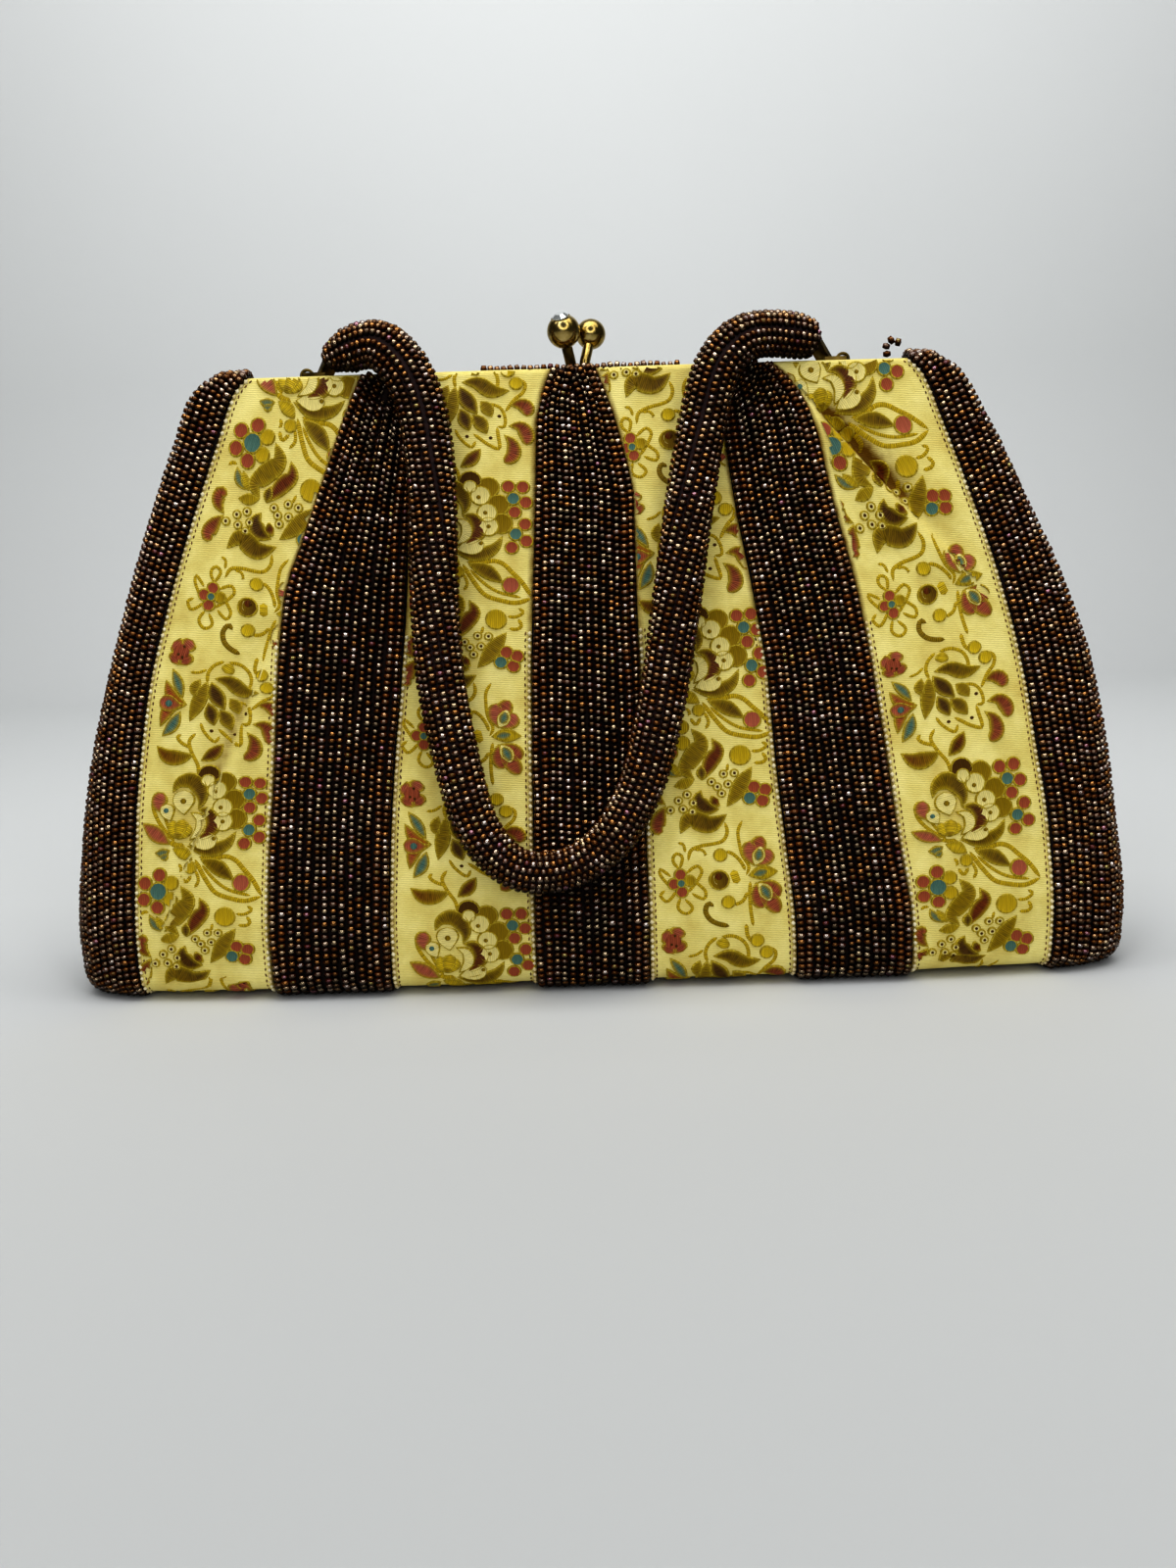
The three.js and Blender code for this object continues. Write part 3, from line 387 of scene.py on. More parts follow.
PAISLEY = [
    gold_line(1.0, (0.5, 12.5), (5, 12.5), (8.5, 12), (11, 13), (13, 15), (16, 18), (19, 22.5)),
    gold_line(1.0, (19, 22.5), (14.5, 24), (10.5, 23.5), (6, 22), (3, 18.5), (-0.5, 13)),
    gold_line(0.6, (16, 22.5), (9.5, 21), (5.5, 18.5), (1.5, 14.5)),
    ("leaf", 1, "olive", "brown", 2.9, [(1, 13), (6, 15), (11, 18.5)]),
    ("disc", 1, "rose", "rose", 3.8, [(13, 19)]),
    ("disc", 1, "gold", "gold", 2.2, [(-1.5, 15.5)]),
    gold_line(0.6, (0, 16), (1, 19), (0, 21)),
    gold_line(0.7, (-4, 17.5), (-2.5, 19.5), (-1, 17.5)),
    gold_line(0.6, (-5, 14.5), (-4, 16), (-4.5, 17)),
    ("leaf", 1, "teal", "teal", 1.2, [(-12, 12), (-10, 12), (-7.5, 11)]),
    ("leaf", 1, "teal", "teal", 1.0, [(-10.5, 13), (-9, 13), (-8, 12)]),
]
BUD = [
    ("leaf", 1, "brown", "olive", 3.2, [(-3, -39.8), (1.5, -39.8), (5.5, -37.8), (10.5, -38.3)]),
    ("leaf", 1, "olive", "olive", 2.9, [(-4.5, -38.8), (-5.5, -32.3), (-7, -25.8)]),
    ("leaf", 1, "olive", "olive", 1.7, [(-6.5, -38.8), (-7.5, -35.8), (-6.5, -32.8)]),
    ("leaf", 2, "brown", "brown", 3.2, [(-3.5, -38.7), (-1.5, -35.2), (2, -30.7)]),
    ("leaf", 1, "olive", "olive", 2.3, [(2.5, -34.7), (4.5, -32.7), (6, -30.2)]),
    ("leaf", 1, "brown", "brown", 2.7, [(-3, -32.2), (-1.5, -29.2), (0, -25.7)]),
    ("leaf", 1, "brown", "olive", 2.7, [(0.5, -30.7), (3, -28.2), (5, -25.2)]),
    gold_line(0.6, (5, -34.2), (8, -33.2), (9.5, -30.7), (9.5, -27.7), (7.5, -27.7)),
    gold_line(0.7, (7.5, -27.7), (8, -25.2), (8.5, -21.2), (5.5, -22.2), (2.5, -24.2), (1, -25.2)),
    gold_line(0.6, (-4, -26.2), (-2.5, -23.7), (1, -21.2), (2, -23.2)),
    ("dot", 1, "brown", "brown", 1.1, [(8, -30.7), (6, -24.2), (-0.5, -24.2)]),
    ("drop", 1, "rust", "red", 3.0, [(10.5, -34), (13.5, -34.5), (15.5, -33.5), (15.5, -31)]),
    ("drop", 1, "rust", "red", 3.0, [(10.5, -28), (14, -28), (16, -25.5), (16, -22.5)]),
    ("drop", 1, "rust", "red", 2.9, [(9.5, -25.5), (12, -23), (12.5, -19.5), (10, -17)]),
    gold_line(0.7, (-4.5, -23), (-6, -20.5), (-5, -17.5), (-2.5, -13.5), (-2, -10.5)),
    gold_line(0.7, (-5, -18.5), (-8, -19.5), (-9.5, -21), (-8.5, -22)),
    ("leaf", 1, "rust", "olive", 3.2, [(-15, -17.8), (-11.5, -15.3), (-7.5, -15.3), (-4, -16.8)]),
    ("leaf", 1, "brown", "rust", 2.5, [(-2, -15), (1, -17.5), (3.5, -21)]),
]
TULIP = [
    ("leaf", 1, "teal", "teal", 1.7, [(-15, -40), (-12.5, -36.5), (-10, -32)]),
    ("leaf", 1, "teal", "teal", 2.2, [(-10, -28.5), (-11.5, -24), (-14, -20.5)]),
    ("leaf", 1, "amber", "red", 2.1, [(-8.5, -30.5), (-13, -32), (-16, -36.5)]),
    ("leaf", 1, "amber", "red", 2.3, [(-8.5, -30.5), (-13, -29), (-15, -23)]),
    ("drop", 2, "red", "rose", 3.6, [(-9.5, -30), (-13.5, -30), (-16.5, -30.5)]),
    ("dot", 4, "teal", "teal", 1.9, [(-13.5, -30)]),
    ("drop", 1, "red", "rose", 3.2, [(-13.7, -45.2), (-12.6, -47.2), (-11.7, -49)]),
    ("drop", 1, "red", "rose", 3.2, [(-13.7, -45.2), (-15.4, -46.4), (-17, -47.2)]),
    ("drop", 1, "red", "red", 3.2, [(-13.7, -45.2), (-14.8, -43.2), (-15.8, -41.4)]),
    ("drop", 1, "red", "red", 3.2, [(-13.7, -45.2), (-12.2, -43.4), (-11.2, -41.6)]),
    ("dot", 3, "red", "red", 4.4, [(-13.8, -45)]),
    ("dot", 5, "brown", "brown", 0.7, [(-13.3, -46.7), (-14.3, -44.2), (-13, -43.7)]),
]
CURLS = [
    gold_line(0.7, (-0.5, -45.5), (3, -45.5), (6, -43.5), (7, -40.5), (6.5, -37.5)),
    gold_line(0.7, (-1.5, -45.5), (-4, -43.5), (-5, -41), (-4.5, -38)),
    gold_line(0.5, (-5.5, -42), (-7.5, -40.5), (-10, -40)),
    ("drop", 1, "gold", "yellow", 2.5, [(0.5, -45.5), (0, -43.5), (-0.5, -42)]),
    gold_line(0.8, (6.5, -49), (7, -45), (8.5, -43.5)),
    ("disc", 1, "yellow", "gold", 2.5, [(9.5, -44), (12, -40.5)]),
    gold_line(0.7, (12.5, -42), (14.5, -40.5), (14, -38), (12, -36), (9.5, -32)),
    ("line", 1, "olive", "olive", 1.1,
     [(-2, 71.5), (-3.5, 70.5), (-4.5, 72.5), (-3.5, 75), (-1.5, 76.5), (2, 77.5)]),
    gold_line(0.7, (3, 47.5), (3.5, 50.5), (2, 53), (-4.5, 54), (-7, 55), (-8, 58)),
    gold_line(0.5, (-10.5, 52.5), (-9, 53), (-8.5, 55.5)),
    gold_line(0.5, (-6, 55), (-4, 55), (-3, 56.5), (-3.5, 57)),
    ("disc", 1, "yellow", "gold", 2.5, [(1, 57), (2, 70.5)]),
    gold_line(0.7, (2.5, 56), (4.5, 57), (6.5, 59.5), (7.5, 62)),
    gold_line(0.7, (3.5, 71.5), (6, 70.5), (7.5, 68)),
    ("disc", 1, "olive", "brown", 4.5, [(0, 64)]),
    ("line", 3, "cream", "cream", 0.4, [(-1, 62), (-1.5, 63.5), (-1, 65), (0, 65)]),
    ("dot", 3, "rust", "brown", 2.0, [(0, 63)]),
    ("line", 1, "yellow", "gold", 2.0, [(4, 61.5), (4.5, 63.5), (5, 65.5)]),
    gold_line(0.6, (8, 47.5), (6.5, 50.5), (6.5, 54), (7, 57.5), (8.5, 61), (7.5, 63.5)),
    gold_line(0.7, (8.5, 65), (8, 69.5), (8, 73.5), (8.5, 78)),
]
BUTTERFLY = [
    ("drop", 1, "rose", "rose", 3.0, [(10, 61), (9, 57.5), (9.5, 53.5)]),
    ("drop", 1, "rose", "red", 3.4, [(10, 61), (11, 56.5), (13, 52.5)]),
    ("drop", 1, "rose", "rose", 3.5, [(10.5, 61), (13, 59), (15, 56.5)]),
    ("leaf", 2, "cream", "cream", 2.7, [(10, 61), (11.5, 58), (12.5, 55)]),
    ("leaf", 3, "teal", "teal", 1.7, [(10.5, 60), (11.5, 58), (12, 55.5)]),
    ("leaf", 1, "yellow", "gold", 2.7, [(8, 63.5), (11.5, 63), (16.5, 63)]),
    ("leaf", 2, "teal", "teal", 1.4, [(9, 63.5), (11.5, 63), (14, 62.5)]),
    ("drop", 1, "red", "red", 3.1, [(10, 65.5), (10, 69), (11.5, 73)]),
    ("drop", 1, "red", "red", 3.5, [(10, 65.5), (13, 70), (16, 74.5)]),
    ("drop", 1, "red", "red", 3.4, [(10.5, 65.5), (14, 67.5), (16.5, 70)]),
    ("leaf", 2, "cream", "cream", 2.9, [(10.5, 65.5), (12.5, 68.5), (13.5, 71.5)]),
    ("leaf", 3, "teal", "teal", 1.8, [(11, 66), (12.5, 68.5), (13.5, 71)]),
]
KNOT = [
    gold_line(0.6, (-10.5, 60), (-12, 58), (-12, 56.5), (-11, 55.5), (-9.5, 56.5), (-10.5, 60)),
    gold_line(0.6, (-13, 62), (-14.5, 60.5), (-16, 59.5), (-16, 61), (-14.5, 63.5), (-12.5, 66)),
    gold_line(0.6, (-9, 61.5), (-7, 60), (-5.5, 59.5), (-4.5, 61), (-5.5, 63), (-9, 67)),
    gold_line(0.6, (-12, 66), (-13.5, 68), (-15, 69), (-16, 68), (-16.5, 67), (-15, 65.5)),
    gold_line(0.6, (-11, 68), (-12, 71), (-11, 72.5), (-9.5, 73), (-8, 71.5), (-10, 68.5)),
    gold_line(0.6, (-7.5, 63), (-5.5, 65), (-4, 67), (-4.5, 69), (-6, 68.5), (-8, 67)),
    ("disc", 1, "red", "red", 2.3, [(-10.5, 61.5), (-12.5, 64), (-10.5, 66.5)]),
    ("disc", 1, "gold", "olive", 2.1, [(-8, 63.5)]),
    ("disc", 2, "teal", "teal", 1.4, [(-10.5, 64)]),
]
RIGHT_SEEDS = [(4, 34), (7, 34), (0.5, 36), (5, 37), (2, 37.5), (3, 39.5)]
LEFT_SEEDS = [(-6.5, 39), (-9, 40.5), (-5, 41.5), (-8, 43), (-5.5, 44), (-11.5, 43)]
LEAVES = [
    ("leaf", 1, "teal", "teal", 1.2, [(-12.5, 29), (-11, 32), (-8.5, 34)]),
    ("leaf", 1, "yellow", "gold", 1.2, [(-10.5, 29.5), (-9.5, 31.5), (-7.5, 34)]),
    gold_line(0.6, (-15, 29.5), (-14, 28.5), (-12.5, 28.5)),
    ("leaf", 1, "olive", "olive", 4.0, [(-4, 20.5), (-1.5, 24.5), (-4.5, 29), (-6.5, 32), (-4, 35)]),
    ("leaf", 1, "rust", "rust", 3.2, [(1.5, 23.5), (3, 27), (1, 30), (-2, 35.5)]),
    ("leaf", 2, "brown", "brown", 1.6, [(-2, 31), (-2, 33), (-2, 35.5)]),
    ("disc", 1, "gold", "gold", 4.6, [(9, 29)]),
    gold_line(0.6, (12, 28), (14.5, 28), (16.5, 26.5), (15, 25.5)),
    gold_line(0.7, (15, 28.5), (16, 30.5), (15, 31.5), (12.5, 31.5)),
    gold_line(0.5, (5.5, 31), (5, 33.5)),
    ("leaf", 1, "olive", "olive", 3.2, [(12, 32.5), (9.5, 36), (6.5, 40.5), (4, 43.5)]),
    ("leaf", 1, "olive", "gold", 1.7, [(-10, 36.5), (-7.5, 36), (-4, 35)]),
    ("leaf", 1, "brown", "brown", 3.2, [(-2.5, 38), (-3.5, 40.5), (-2, 43), (2, 44)]),
    ("drop", 2, "brown", "rust", 2.5, [(-0.5, 42.5), (2, 41)]),
    ("drop", 1, "rust", "red", 2.5, [(-12.5, 41.5), (-15, 39), (-15, 36.5), (-13, 36.5)]),
    ("drop", 1, "rust", "red", 3.0, [(-12.5, 41.5), (-14.5, 44.5), (-15.5, 48), (-14, 49)]),
    ("leaf", 1, "olive", "brown", 4.2, [(-9.5, 50), (-6.5, 46), (-1, 48), (4, 45.5)]),
    ("disc", 1, "cream", "cream", 1.1, RIGHT_SEEDS),
    ("dot", 3, "brown", "brown", 0.8, RIGHT_SEEDS),
    ("disc", 1, "cream", "cream", 1.1, LEFT_SEEDS),
    ("dot", 3, "brown", "brown", 0.8, LEFT_SEEDS),
]
PATTERN = FAN_FLOWER + RED_FLOWERS + PAISLEY + BUD + TULIP + CURLS + BUTTERFLY + KNOT + LEAVES


def smooth_path(points, step):
    """Even steps on a rounded curve through points, with their distances and places among the points."""
    points = np.asarray(points, float)
    fine = 16
    fewest = 4
    ends = np.vstack([2 * points[0] - points[1], points, 2 * points[-1] - points[-2]])
    gaps = np.linalg.norm(np.diff(ends, axis=0), axis=1) ** 0.5
    t = (np.arange(fine) / fine)[:, None]
    curve = []
    for k in range(len(points) - 1):
        before, start, end, after = ends[k:k + 4]
        near, here, far = gaps[k:k + 3]
        chord = (end - start) / here
        leaving = ((start - before) / near - (end - before) / (near + here) + chord) * here
        arriving = (chord - (after - start) / (here + far) + (after - end) / far) * here
        curve.append(start * (2 * t**3 - 3 * t**2 + 1) + leaving * (t**3 - 2 * t**2 + t)
                     + end * (3 * t**2 - 2 * t**3) + arriving * (t**3 - t**2))
    curve = np.vstack([*curve, points[-1:]])
    far = np.concatenate([[0.0], np.cumsum(np.linalg.norm(np.diff(curve, axis=0), axis=1))])
    count = max(fewest, math.ceil(far[-1] / step))
    goal = np.linspace(0, far[-1], count + 1)
    even = np.stack([np.interp(goal, far, curve[:, c]) for c in range(curve.shape[1])], axis=-1)
    return even, goal, np.interp(goal, far, np.arange(len(far)) / fine)


def stitched_outline(kind, t):
    """Share of a stitched shape's half width at a share of its length."""
    if kind == "leaf":
        slimness = 0.9
        return np.sin(np.pi * t) ** slimness
    if kind == "drop":
        widest = 0.62
        round_end = np.sqrt(np.maximum(0, 1 - ((t - widest) / (1 - widest)) ** 2))
        return np.where(t < widest, np.sin(np.pi / 2 * t / widest), round_end)
    if kind == "line":
        rounded_end = 0.1
        return np.sqrt(np.minimum(1, np.minimum(t, 1 - t) / rounded_end))
    return np.sqrt(np.maximum(0, 1 - (2 * t - 1) ** 2))


SILK_STEP = 0.8
DISC_STEPS = 8
SILK_DOME = np.array([0.0, 1.0, 0.78, 1.0, 0.78, 1.0, 0.0])
CORDED = [0, 1, 2, 3, 4, 5, 6]
PLAIN = [0, 3, 6]
SILK_HEIGHT = 0.34
SILK_LAYER = 0.12
SILK_SINK = 0.06
FULL_FROM = 0.7
CORD_SHARE = 0.6
NO_CORD = 9.0


def stitched_shape(kind, layer, first, last, wide, points):
    """A raised strip: its places on the ribbon, heights, colours and stitch directions, and its faces.

    A cord takes two columns more on each side of the strip, and plain lines and dots have none. A dot above
    the first layer lies on the shape two layers below it.
    """
    rim = 0.0 if kind in ("dot", "line") else SILK_RIM
    wide = wide + {"line": LINE_EXTRA, "dot": 0.0}.get(kind, FILL_EXTRA)
    if kind in ("disc", "dot"):
        turn = np.linspace(0, np.pi, DISC_STEPS + 1)
        reach = wide / 2 + rim
        spine = np.stack([points[0][0] - reach * np.cos(turn), np.full_like(turn, points[0][1])], axis=-1)
        far = reach * (1 - np.cos(turn))
    else:
        spine, far, _ = smooth_path(points, SILK_STEP)
    run = unit(np.gradient(spine, axis=0))
    aside = np.stack([run[:, 1], -run[:, 0]], axis=-1)
    t = far / far[-1]
    half = (wide / 2 + rim) * stitched_outline(kind, t)
    cord = np.minimum(SILK_RIM, half * CORD_SHARE)
    steps = [half, half - cord / 2, half - cord]
    across = np.stack([*[-step for step in steps], np.zeros_like(half), *steps[::-1]], axis=-1)
    columns = CORDED if rim else PLAIN
    across = across[:, columns]
    dome = SILK_DOME[columns]
    places = spine[:, None] + aside[:, None] * across[..., None]
    fullness = np.minimum(1, half / FULL_FROM)[:, None]
    height = dome * (SILK_HEIGHT + SILK_LAYER * layer) * fullness - SILK_SINK * (dome == 0)
    if kind == "dot" and layer > 1:
        height = np.broadcast_to(SILK_HEIGHT + SILK_LAYER * (layer - 2 + 2 * dome), across.shape)
    if kind == "disc":
        edge = half.max() - np.hypot(far[:, None] - half.max(), across)
    else:
        edge = half[:, None] - np.abs(across) + (0.0 if rim else NO_CORD)
    stitch = np.stack([np.broadcast_to(far[:, None], edge.shape), across, edge], axis=-1)
    ends = np.array([colour(SILK_COLOURS[first]), colour(SILK_COLOURS[last])])
    shade = ends[0] + (ends[1] - ends[0]) * t[:, None]
    shade[:, 3] = 0.0 if kind == "disc" or "cream" in (first, last) else 1.0
    shade = np.broadcast_to(shade[:, None], (len(t), len(columns), 4))
    arrays = places.reshape(-1, 2), height.ravel(), shade.reshape(-1, 4), stitch.reshape(-1, 3)
    return arrays, grid_faces(len(t), len(columns))


def whole_pattern():
    """One repeat of the flower pattern as joined arrays, with its faces."""
    parts = []
    faces = []
    start = 0
    for kind, layer, first, last, wide, points in PATTERN:
        runs = [[point] for point in points] if kind in ("disc", "dot") else [points]
        for run in runs:
            arrays, shape_faces = stitched_shape(kind, layer, first, last, wide, run)
            parts.append(arrays)
            faces.append(shape_faces + start)
            start += len(arrays[0])
    return [np.concatenate(each) for each in zip(*parts)] + [np.concatenate(faces)]


# Each ribbon lies between two edges. Its pattern follows its anchor line, which is its outer edge on the two
# that fan out. anchor_u is that line's place in the pattern at four marks down the face, the fan flower sits
# at a distance from the mouth, and the gathers at the mouth draw the pattern up.
PATTERN_MARKS = [15, 60, 105, 150]
RIBBONS = {
    "ribbon_1": {"edges": (-4, -3), "anchor": (-4, -4), "anchor_u": (-19.5, -21.8, -19.3, -16.8),
                 "flower": 122.5, "repeat": 127.5, "gather": 3.5},
    "ribbon_2": {"edges": (-2, -1), "anchor": (-2, -1), "anchor_u": (1.8, 1.8, 0.5, -0.8),
                 "flower": 40.8, "repeat": 118, "gather": 0},
    "ribbon_3": {"edges": (1, 2), "anchor": (1, 2), "anchor_u": (1, 1, 0.5, 0),
                 "flower": 80.6, "repeat": 122, "gather": 0},
    "ribbon_4": {"edges": (3, 4), "anchor": (4, 4), "anchor_u": (24, 20.7, 23, 22.7),
                 "flower": 126.2, "repeat": 128, "gather": 3},
}
pattern_places, pattern_height, pattern_shade, pattern_stitch, pattern_faces = whole_pattern()
GRID_WIDE = 30
FOLDED_STEP = CLOTH_STEP / 1.5


def middle_x(edges, way):
    return (edge_x(edges[0], way) + edge_x(edges[1], way)) / 2


def cloth_grid(edges, step):
    """Rows down the strip and columns across it, from one edge to the other."""
    rows = round(STRIP_LENGTH / step) + 1
    columns = round(GRID_WIDE / step) + 1
    way = np.repeat(np.linspace(0, STRIP_LENGTH, rows)[:, None], columns, axis=1)
    share = np.linspace(0, 1, columns)[None, :]
    left = edge_x(edges[0], way) + STRIP_GAP / 2
    right = edge_x(edges[1], way) - STRIP_GAP / 2
    return way, left + (right - left) * share


# The crease's valley is painted dark, a stain with the fold's painted shade, and a pale stain lies beside it
STAIN_AND_SHADE_START = (0.0, 0.12)
VALLEY_SHADE_AND_STAIN = {"strength": 2.0, "wide": 1.6}
PALE_STAIN = {"strength": 0.45, "aside": 4.0, "wide": 4.5, "end": (0.2, 1.0)}


def ribbon_cloth(name, ribbon):
    way, x = cloth_grid(ribbon["edges"], FOLDED_STEP if name in FOLDS else CLOTH_STEP)
    points = wall_point(way, x)
    outward = wall_outward(way, x)
    lift = cloth_lift(name, points)[..., None]
    outer = points + outward * lift
    inner = points + outward * (lift - RIBBON_THICK)
    across = x - middle_x(ribbon["edges"], way)
    cloth = np.stack([across, way, np.zeros_like(way)], axis=-1).reshape(-1, 3)
    stain_and_shade = np.zeros(points.shape[:2])
    if name in FOLDS:
        aside, past = fold_place(name, points)
        # Painted shade with stain: a dark band along the valley of the crease
        dark = VALLEY_SHADE_AND_STAIN["strength"] * bell(aside, FOLDS[name]["valley"], VALLEY_SHADE_AND_STAIN["wide"])
        pale = PALE_STAIN["strength"] * bell(aside, PALE_STAIN["aside"], PALE_STAIN["wide"])
        dark = dark * swell(past, STAIN_AND_SHADE_START, VALLEY_END)
        pale = pale * swell(past, STAIN_AND_SHADE_START, PALE_STAIN["end"])
        stain_and_shade = (dark + pale) * FOLDS[name]["stain_and_shade"] * (points[..., 1] < 0)
    # Painted shade: both edges of the cloth are darkened under the loops
    stain_and_shade[:, [0, -1]] += EDGE_SHADE
    places = np.concatenate([outer.reshape(-1, 3), inner.reshape(-1, 3)])
    attributes = {"cloth": np.tile(cloth, (2, 1)), "stain_and_shade": np.tile(stain_and_shade.ravel(), 2)}
    return make_piece(name + "_cloth", places, shell_faces(*way.shape), satin, attributes)


# How the silk is laid: the pattern runs straight on past the shoulders and the mouths and is cut off there
SHOULDER_END = 16
BEYOND_MOUTH = 40
LINE_POINTS = 1801
SLOPE_STEP = 2.0
REPEATS = range(-2, 4)
GATHER_END = 45
SILK_MARGIN = 0.3
TUCK_START = (-0.2, 0.1)
TUCK_END = (0.2, 1.0)
HIDDEN = 0


def tucked(name, way, x):
    """Draws the cloth below a crease up into it: the new way down, and the side or HIDDEN in the crease."""
    across, past = fold_place(name, wall_point(way, x))
    pull = FOLDS[name]["tuck"] * swell(past, TUCK_START, TUCK_END)
    drawn = np.where(way < WALL_LENGTH, np.maximum(way - pull, SILK_MARGIN), way)
    across_drawn, _ = fold_place(name, wall_point(drawn, x))
    below = (across < 0) & (across_drawn < 0)
    return np.where(below, drawn, way), np.where(below, -1, np.where(across < 0, HIDDEN, 1))


def anchor_line(edges):
    """Places down the strip, and the anchor line there: its x, its slope and the distance along it."""
    line = np.linspace(-BEYOND_MOUTH, STRIP_LENGTH + BEYOND_MOUTH, LINE_POINTS)
    near = np.clip(line, SHOULDER_END, STRIP_LENGTH - SHOULDER_END)
    inner = np.clip(near, SHOULDER_END + SLOPE_STEP, STRIP_LENGTH - SHOULDER_END - SLOPE_STEP)
    anchor = middle_x(edges, near)
    anchor = anchor + (anchor - middle_x(edges, inner)) * np.abs(line - near) / SLOPE_STEP
    slope = np.gradient(anchor, line)
    stretch = np.hypot(1, slope)
    steps = np.diff(line) * (stretch[1:] + stretch[:-1]) / 2
    far = np.concatenate([[0.0], np.cumsum(steps)])
    return line, anchor, slope, far - np.interp(0, line, far)


def ribbon_silk(name, ribbon):
    """The flower pattern laid along the ribbon, cut off at the ribbon's own edges."""
    line, anchor, slope, far = anchor_line(ribbon["anchor"])
    grow = ribbon["repeat"] / PATTERN_REPEAT
    pieces = []
    faces = []
    start = 0
    for turn in REPEATS:
        down = ribbon["flower"] + turn * ribbon["repeat"] + pattern_places[:, 1] * grow
        if down.max() < far[0] or down.min() > far[-1]:
            continue
        down = down - ribbon["gather"] * (1 - smooth_step(down, 0, GATHER_END))
        place = np.interp(down, far, line)
        tilt = np.interp(place, line, slope)
        anchor_u = np.interp(down, PATTERN_MARKS, ribbon["anchor_u"])
        aside = (pattern_places[:, 0] - anchor_u) / np.hypot(1, tilt)
        x = np.interp(place, line, anchor) + aside
        way = place - aside * tilt
        low = edge_x(ribbon["edges"][0], way) + SILK_MARGIN
        high = edge_x(ribbon["edges"][1], way) - SILK_MARGIN
        last = STRIP_LENGTH - SILK_MARGIN
        inside = (x > low) & (x < high) & (way > SILK_MARGIN) & (way < last)
        x = np.clip(x, low, high)
        way = np.clip(way, SILK_MARGIN, last)
        side = np.ones(len(x))
        if name in FOLDS:
            way, side = tucked(name, way, x)
        points = wall_point(way, x)
        lift = cloth_lift(name, points) + pattern_height
        pieces.append((points + wall_outward(way, x) * lift[:, None], pattern_shade, pattern_stitch))
        whole = np.ptp(side[pattern_faces], axis=1) == 0
        kept = inside[pattern_faces].all(axis=1) & whole & (side[pattern_faces[:, 0]] != HIDDEN)
        faces.append(pattern_faces[kept] + start)
        start += len(points)
    places, shade, stitch = [np.concatenate(each) for each in zip(*pieces)]
    faces = np.concatenate(faces)
    used = np.unique(faces)
    renumber = np.zeros(len(places), int)
    renumber[used] = np.arange(len(used))
    attributes = {"silk": shade[used], "stitch": stitch[used]}
    return make_piece(name + "_silk", places[used], renumber[faces], silk, attributes)


for name, ribbon in RIBBONS.items():
    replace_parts(ribbon_cloth(name, ribbon), name)
    ribbon_silk(name, ribbon)

# Bead bands. Between the ribbons lie strips of brown cotton with glass seed beads sewn on in columns, 14 to a
# band, from the front mouth under the base to the back. At the mouth the middle columns are gathered.
BEAD_WIDE = 2.15
BEAD_LONG = 1.75
BEAD_BARREL = 1.0
BEAD_SPACING = 1.8
BEAD_SIDES = 6
BEAD_HEIGHT = 0.75
BEAD_LEAN = 0.26
BAND_COLUMNS = 14
COLUMN_WARMTH = {0: 0.5, 1: 1.0}
COLUMN_POINTS = 260
TIGHTEST = 0.56
PLEAT_DEPTH = 2.4
SWALLOWED = 0.2

# Glass beads with a bronze lustre: chocolate bodies with cream, gold and a few purple and green glints that
# change in colour and strength from bead to bead. Colour and glints are painted darker where a bead faces
# down, a painted shade that leaves the undersides nearly black.
SECOND_DRAW = 37.0
bronze_glass, tree, shader = new_material("bronze_glass")
tint = add(tree, "ShaderNodeAttribute", attribute_name="tint").outputs["Fac"]
warm = add(tree, "ShaderNodeAttribute", attribute_name="warm").outputs["Fac"]
brown = add(tree, "ShaderNodeValToRGB", {"Fac": tint},
            ramp=[(0.0, "#1c0703"), (0.4, "#2c0d04"), (0.7, "#3e1607"), (0.88, "#52220c"), (0.96, "#643414")])
brown.color_ramp.interpolation = "CONSTANT"
warmer = add(tree, "ShaderNodeMix", {"Factor": warm, "A": brown.outputs["Color"], "B": colour("#5c3012")},
             data_type="RGBA")
# Painted shade: colour and glint strength fall off where the bead's faces turn down
facing = add(tree, "ShaderNodeSeparateXYZ", {"Vector": add(tree, "ShaderNodeTexCoord").outputs["Normal"]})
painted_light_from_above = add(tree, "ShaderNodeMapRange", {"Value": facing.outputs["Z"], "From Min": -0.4, "From Max": 0.4,
                                       "To Min": 0.1, "To Max": 1.0})
body = add(tree, "ShaderNodeMix", {"Factor": 1.0, "A": warmer.outputs[2], "B": painted_light_from_above.outputs[0]},
           data_type="RGBA", blend_type="MULTIPLY")
glint = add(tree, "ShaderNodeValToRGB", {"Fac": tint},
            ramp=[(0.0, "#e8c092"), (0.2, "#f6e0bc"), (0.45, "#d8a468"), (0.7, "#ffecd4"), (0.88, "#c8a0b0"),
                  (0.9, "#c4c084"), (0.93, "#fffaf2")])
glint.color_ramp.interpolation = "CONSTANT"
many = add(tree, "ShaderNodeMath", {0: tint, 1: SECOND_DRAW}, operation="MULTIPLY")
chance = add(tree, "ShaderNodeMath", {0: many.outputs[0]}, operation="FRACT")
seldom = add(tree, "ShaderNodeMath", {0: chance.outputs[0], 1: 2.0}, operation="POWER")
lustre = add(tree, "ShaderNodeMapRange", {"Value": seldom.outputs[0], "To Min": 0.22, "To Max": 1.0})
dull = add(tree, "ShaderNodeMapRange", {"Value": chance.outputs[0], "To Min": 0.26, "To Max": 0.1})
lustre_painted_dark_below = add(tree, "ShaderNodeMath", {0: lustre.outputs[0], 1: painted_light_from_above.outputs[0]}, operation="MULTIPLY")
fill(tree, shader, {"Base Color": body.outputs[2], "Specular Tint": glint.outputs["Color"], "IOR": 3.3,
                    "Specular IOR Level": lustre_painted_dark_below.outputs[0], "Roughness": dull.outputs[0]})


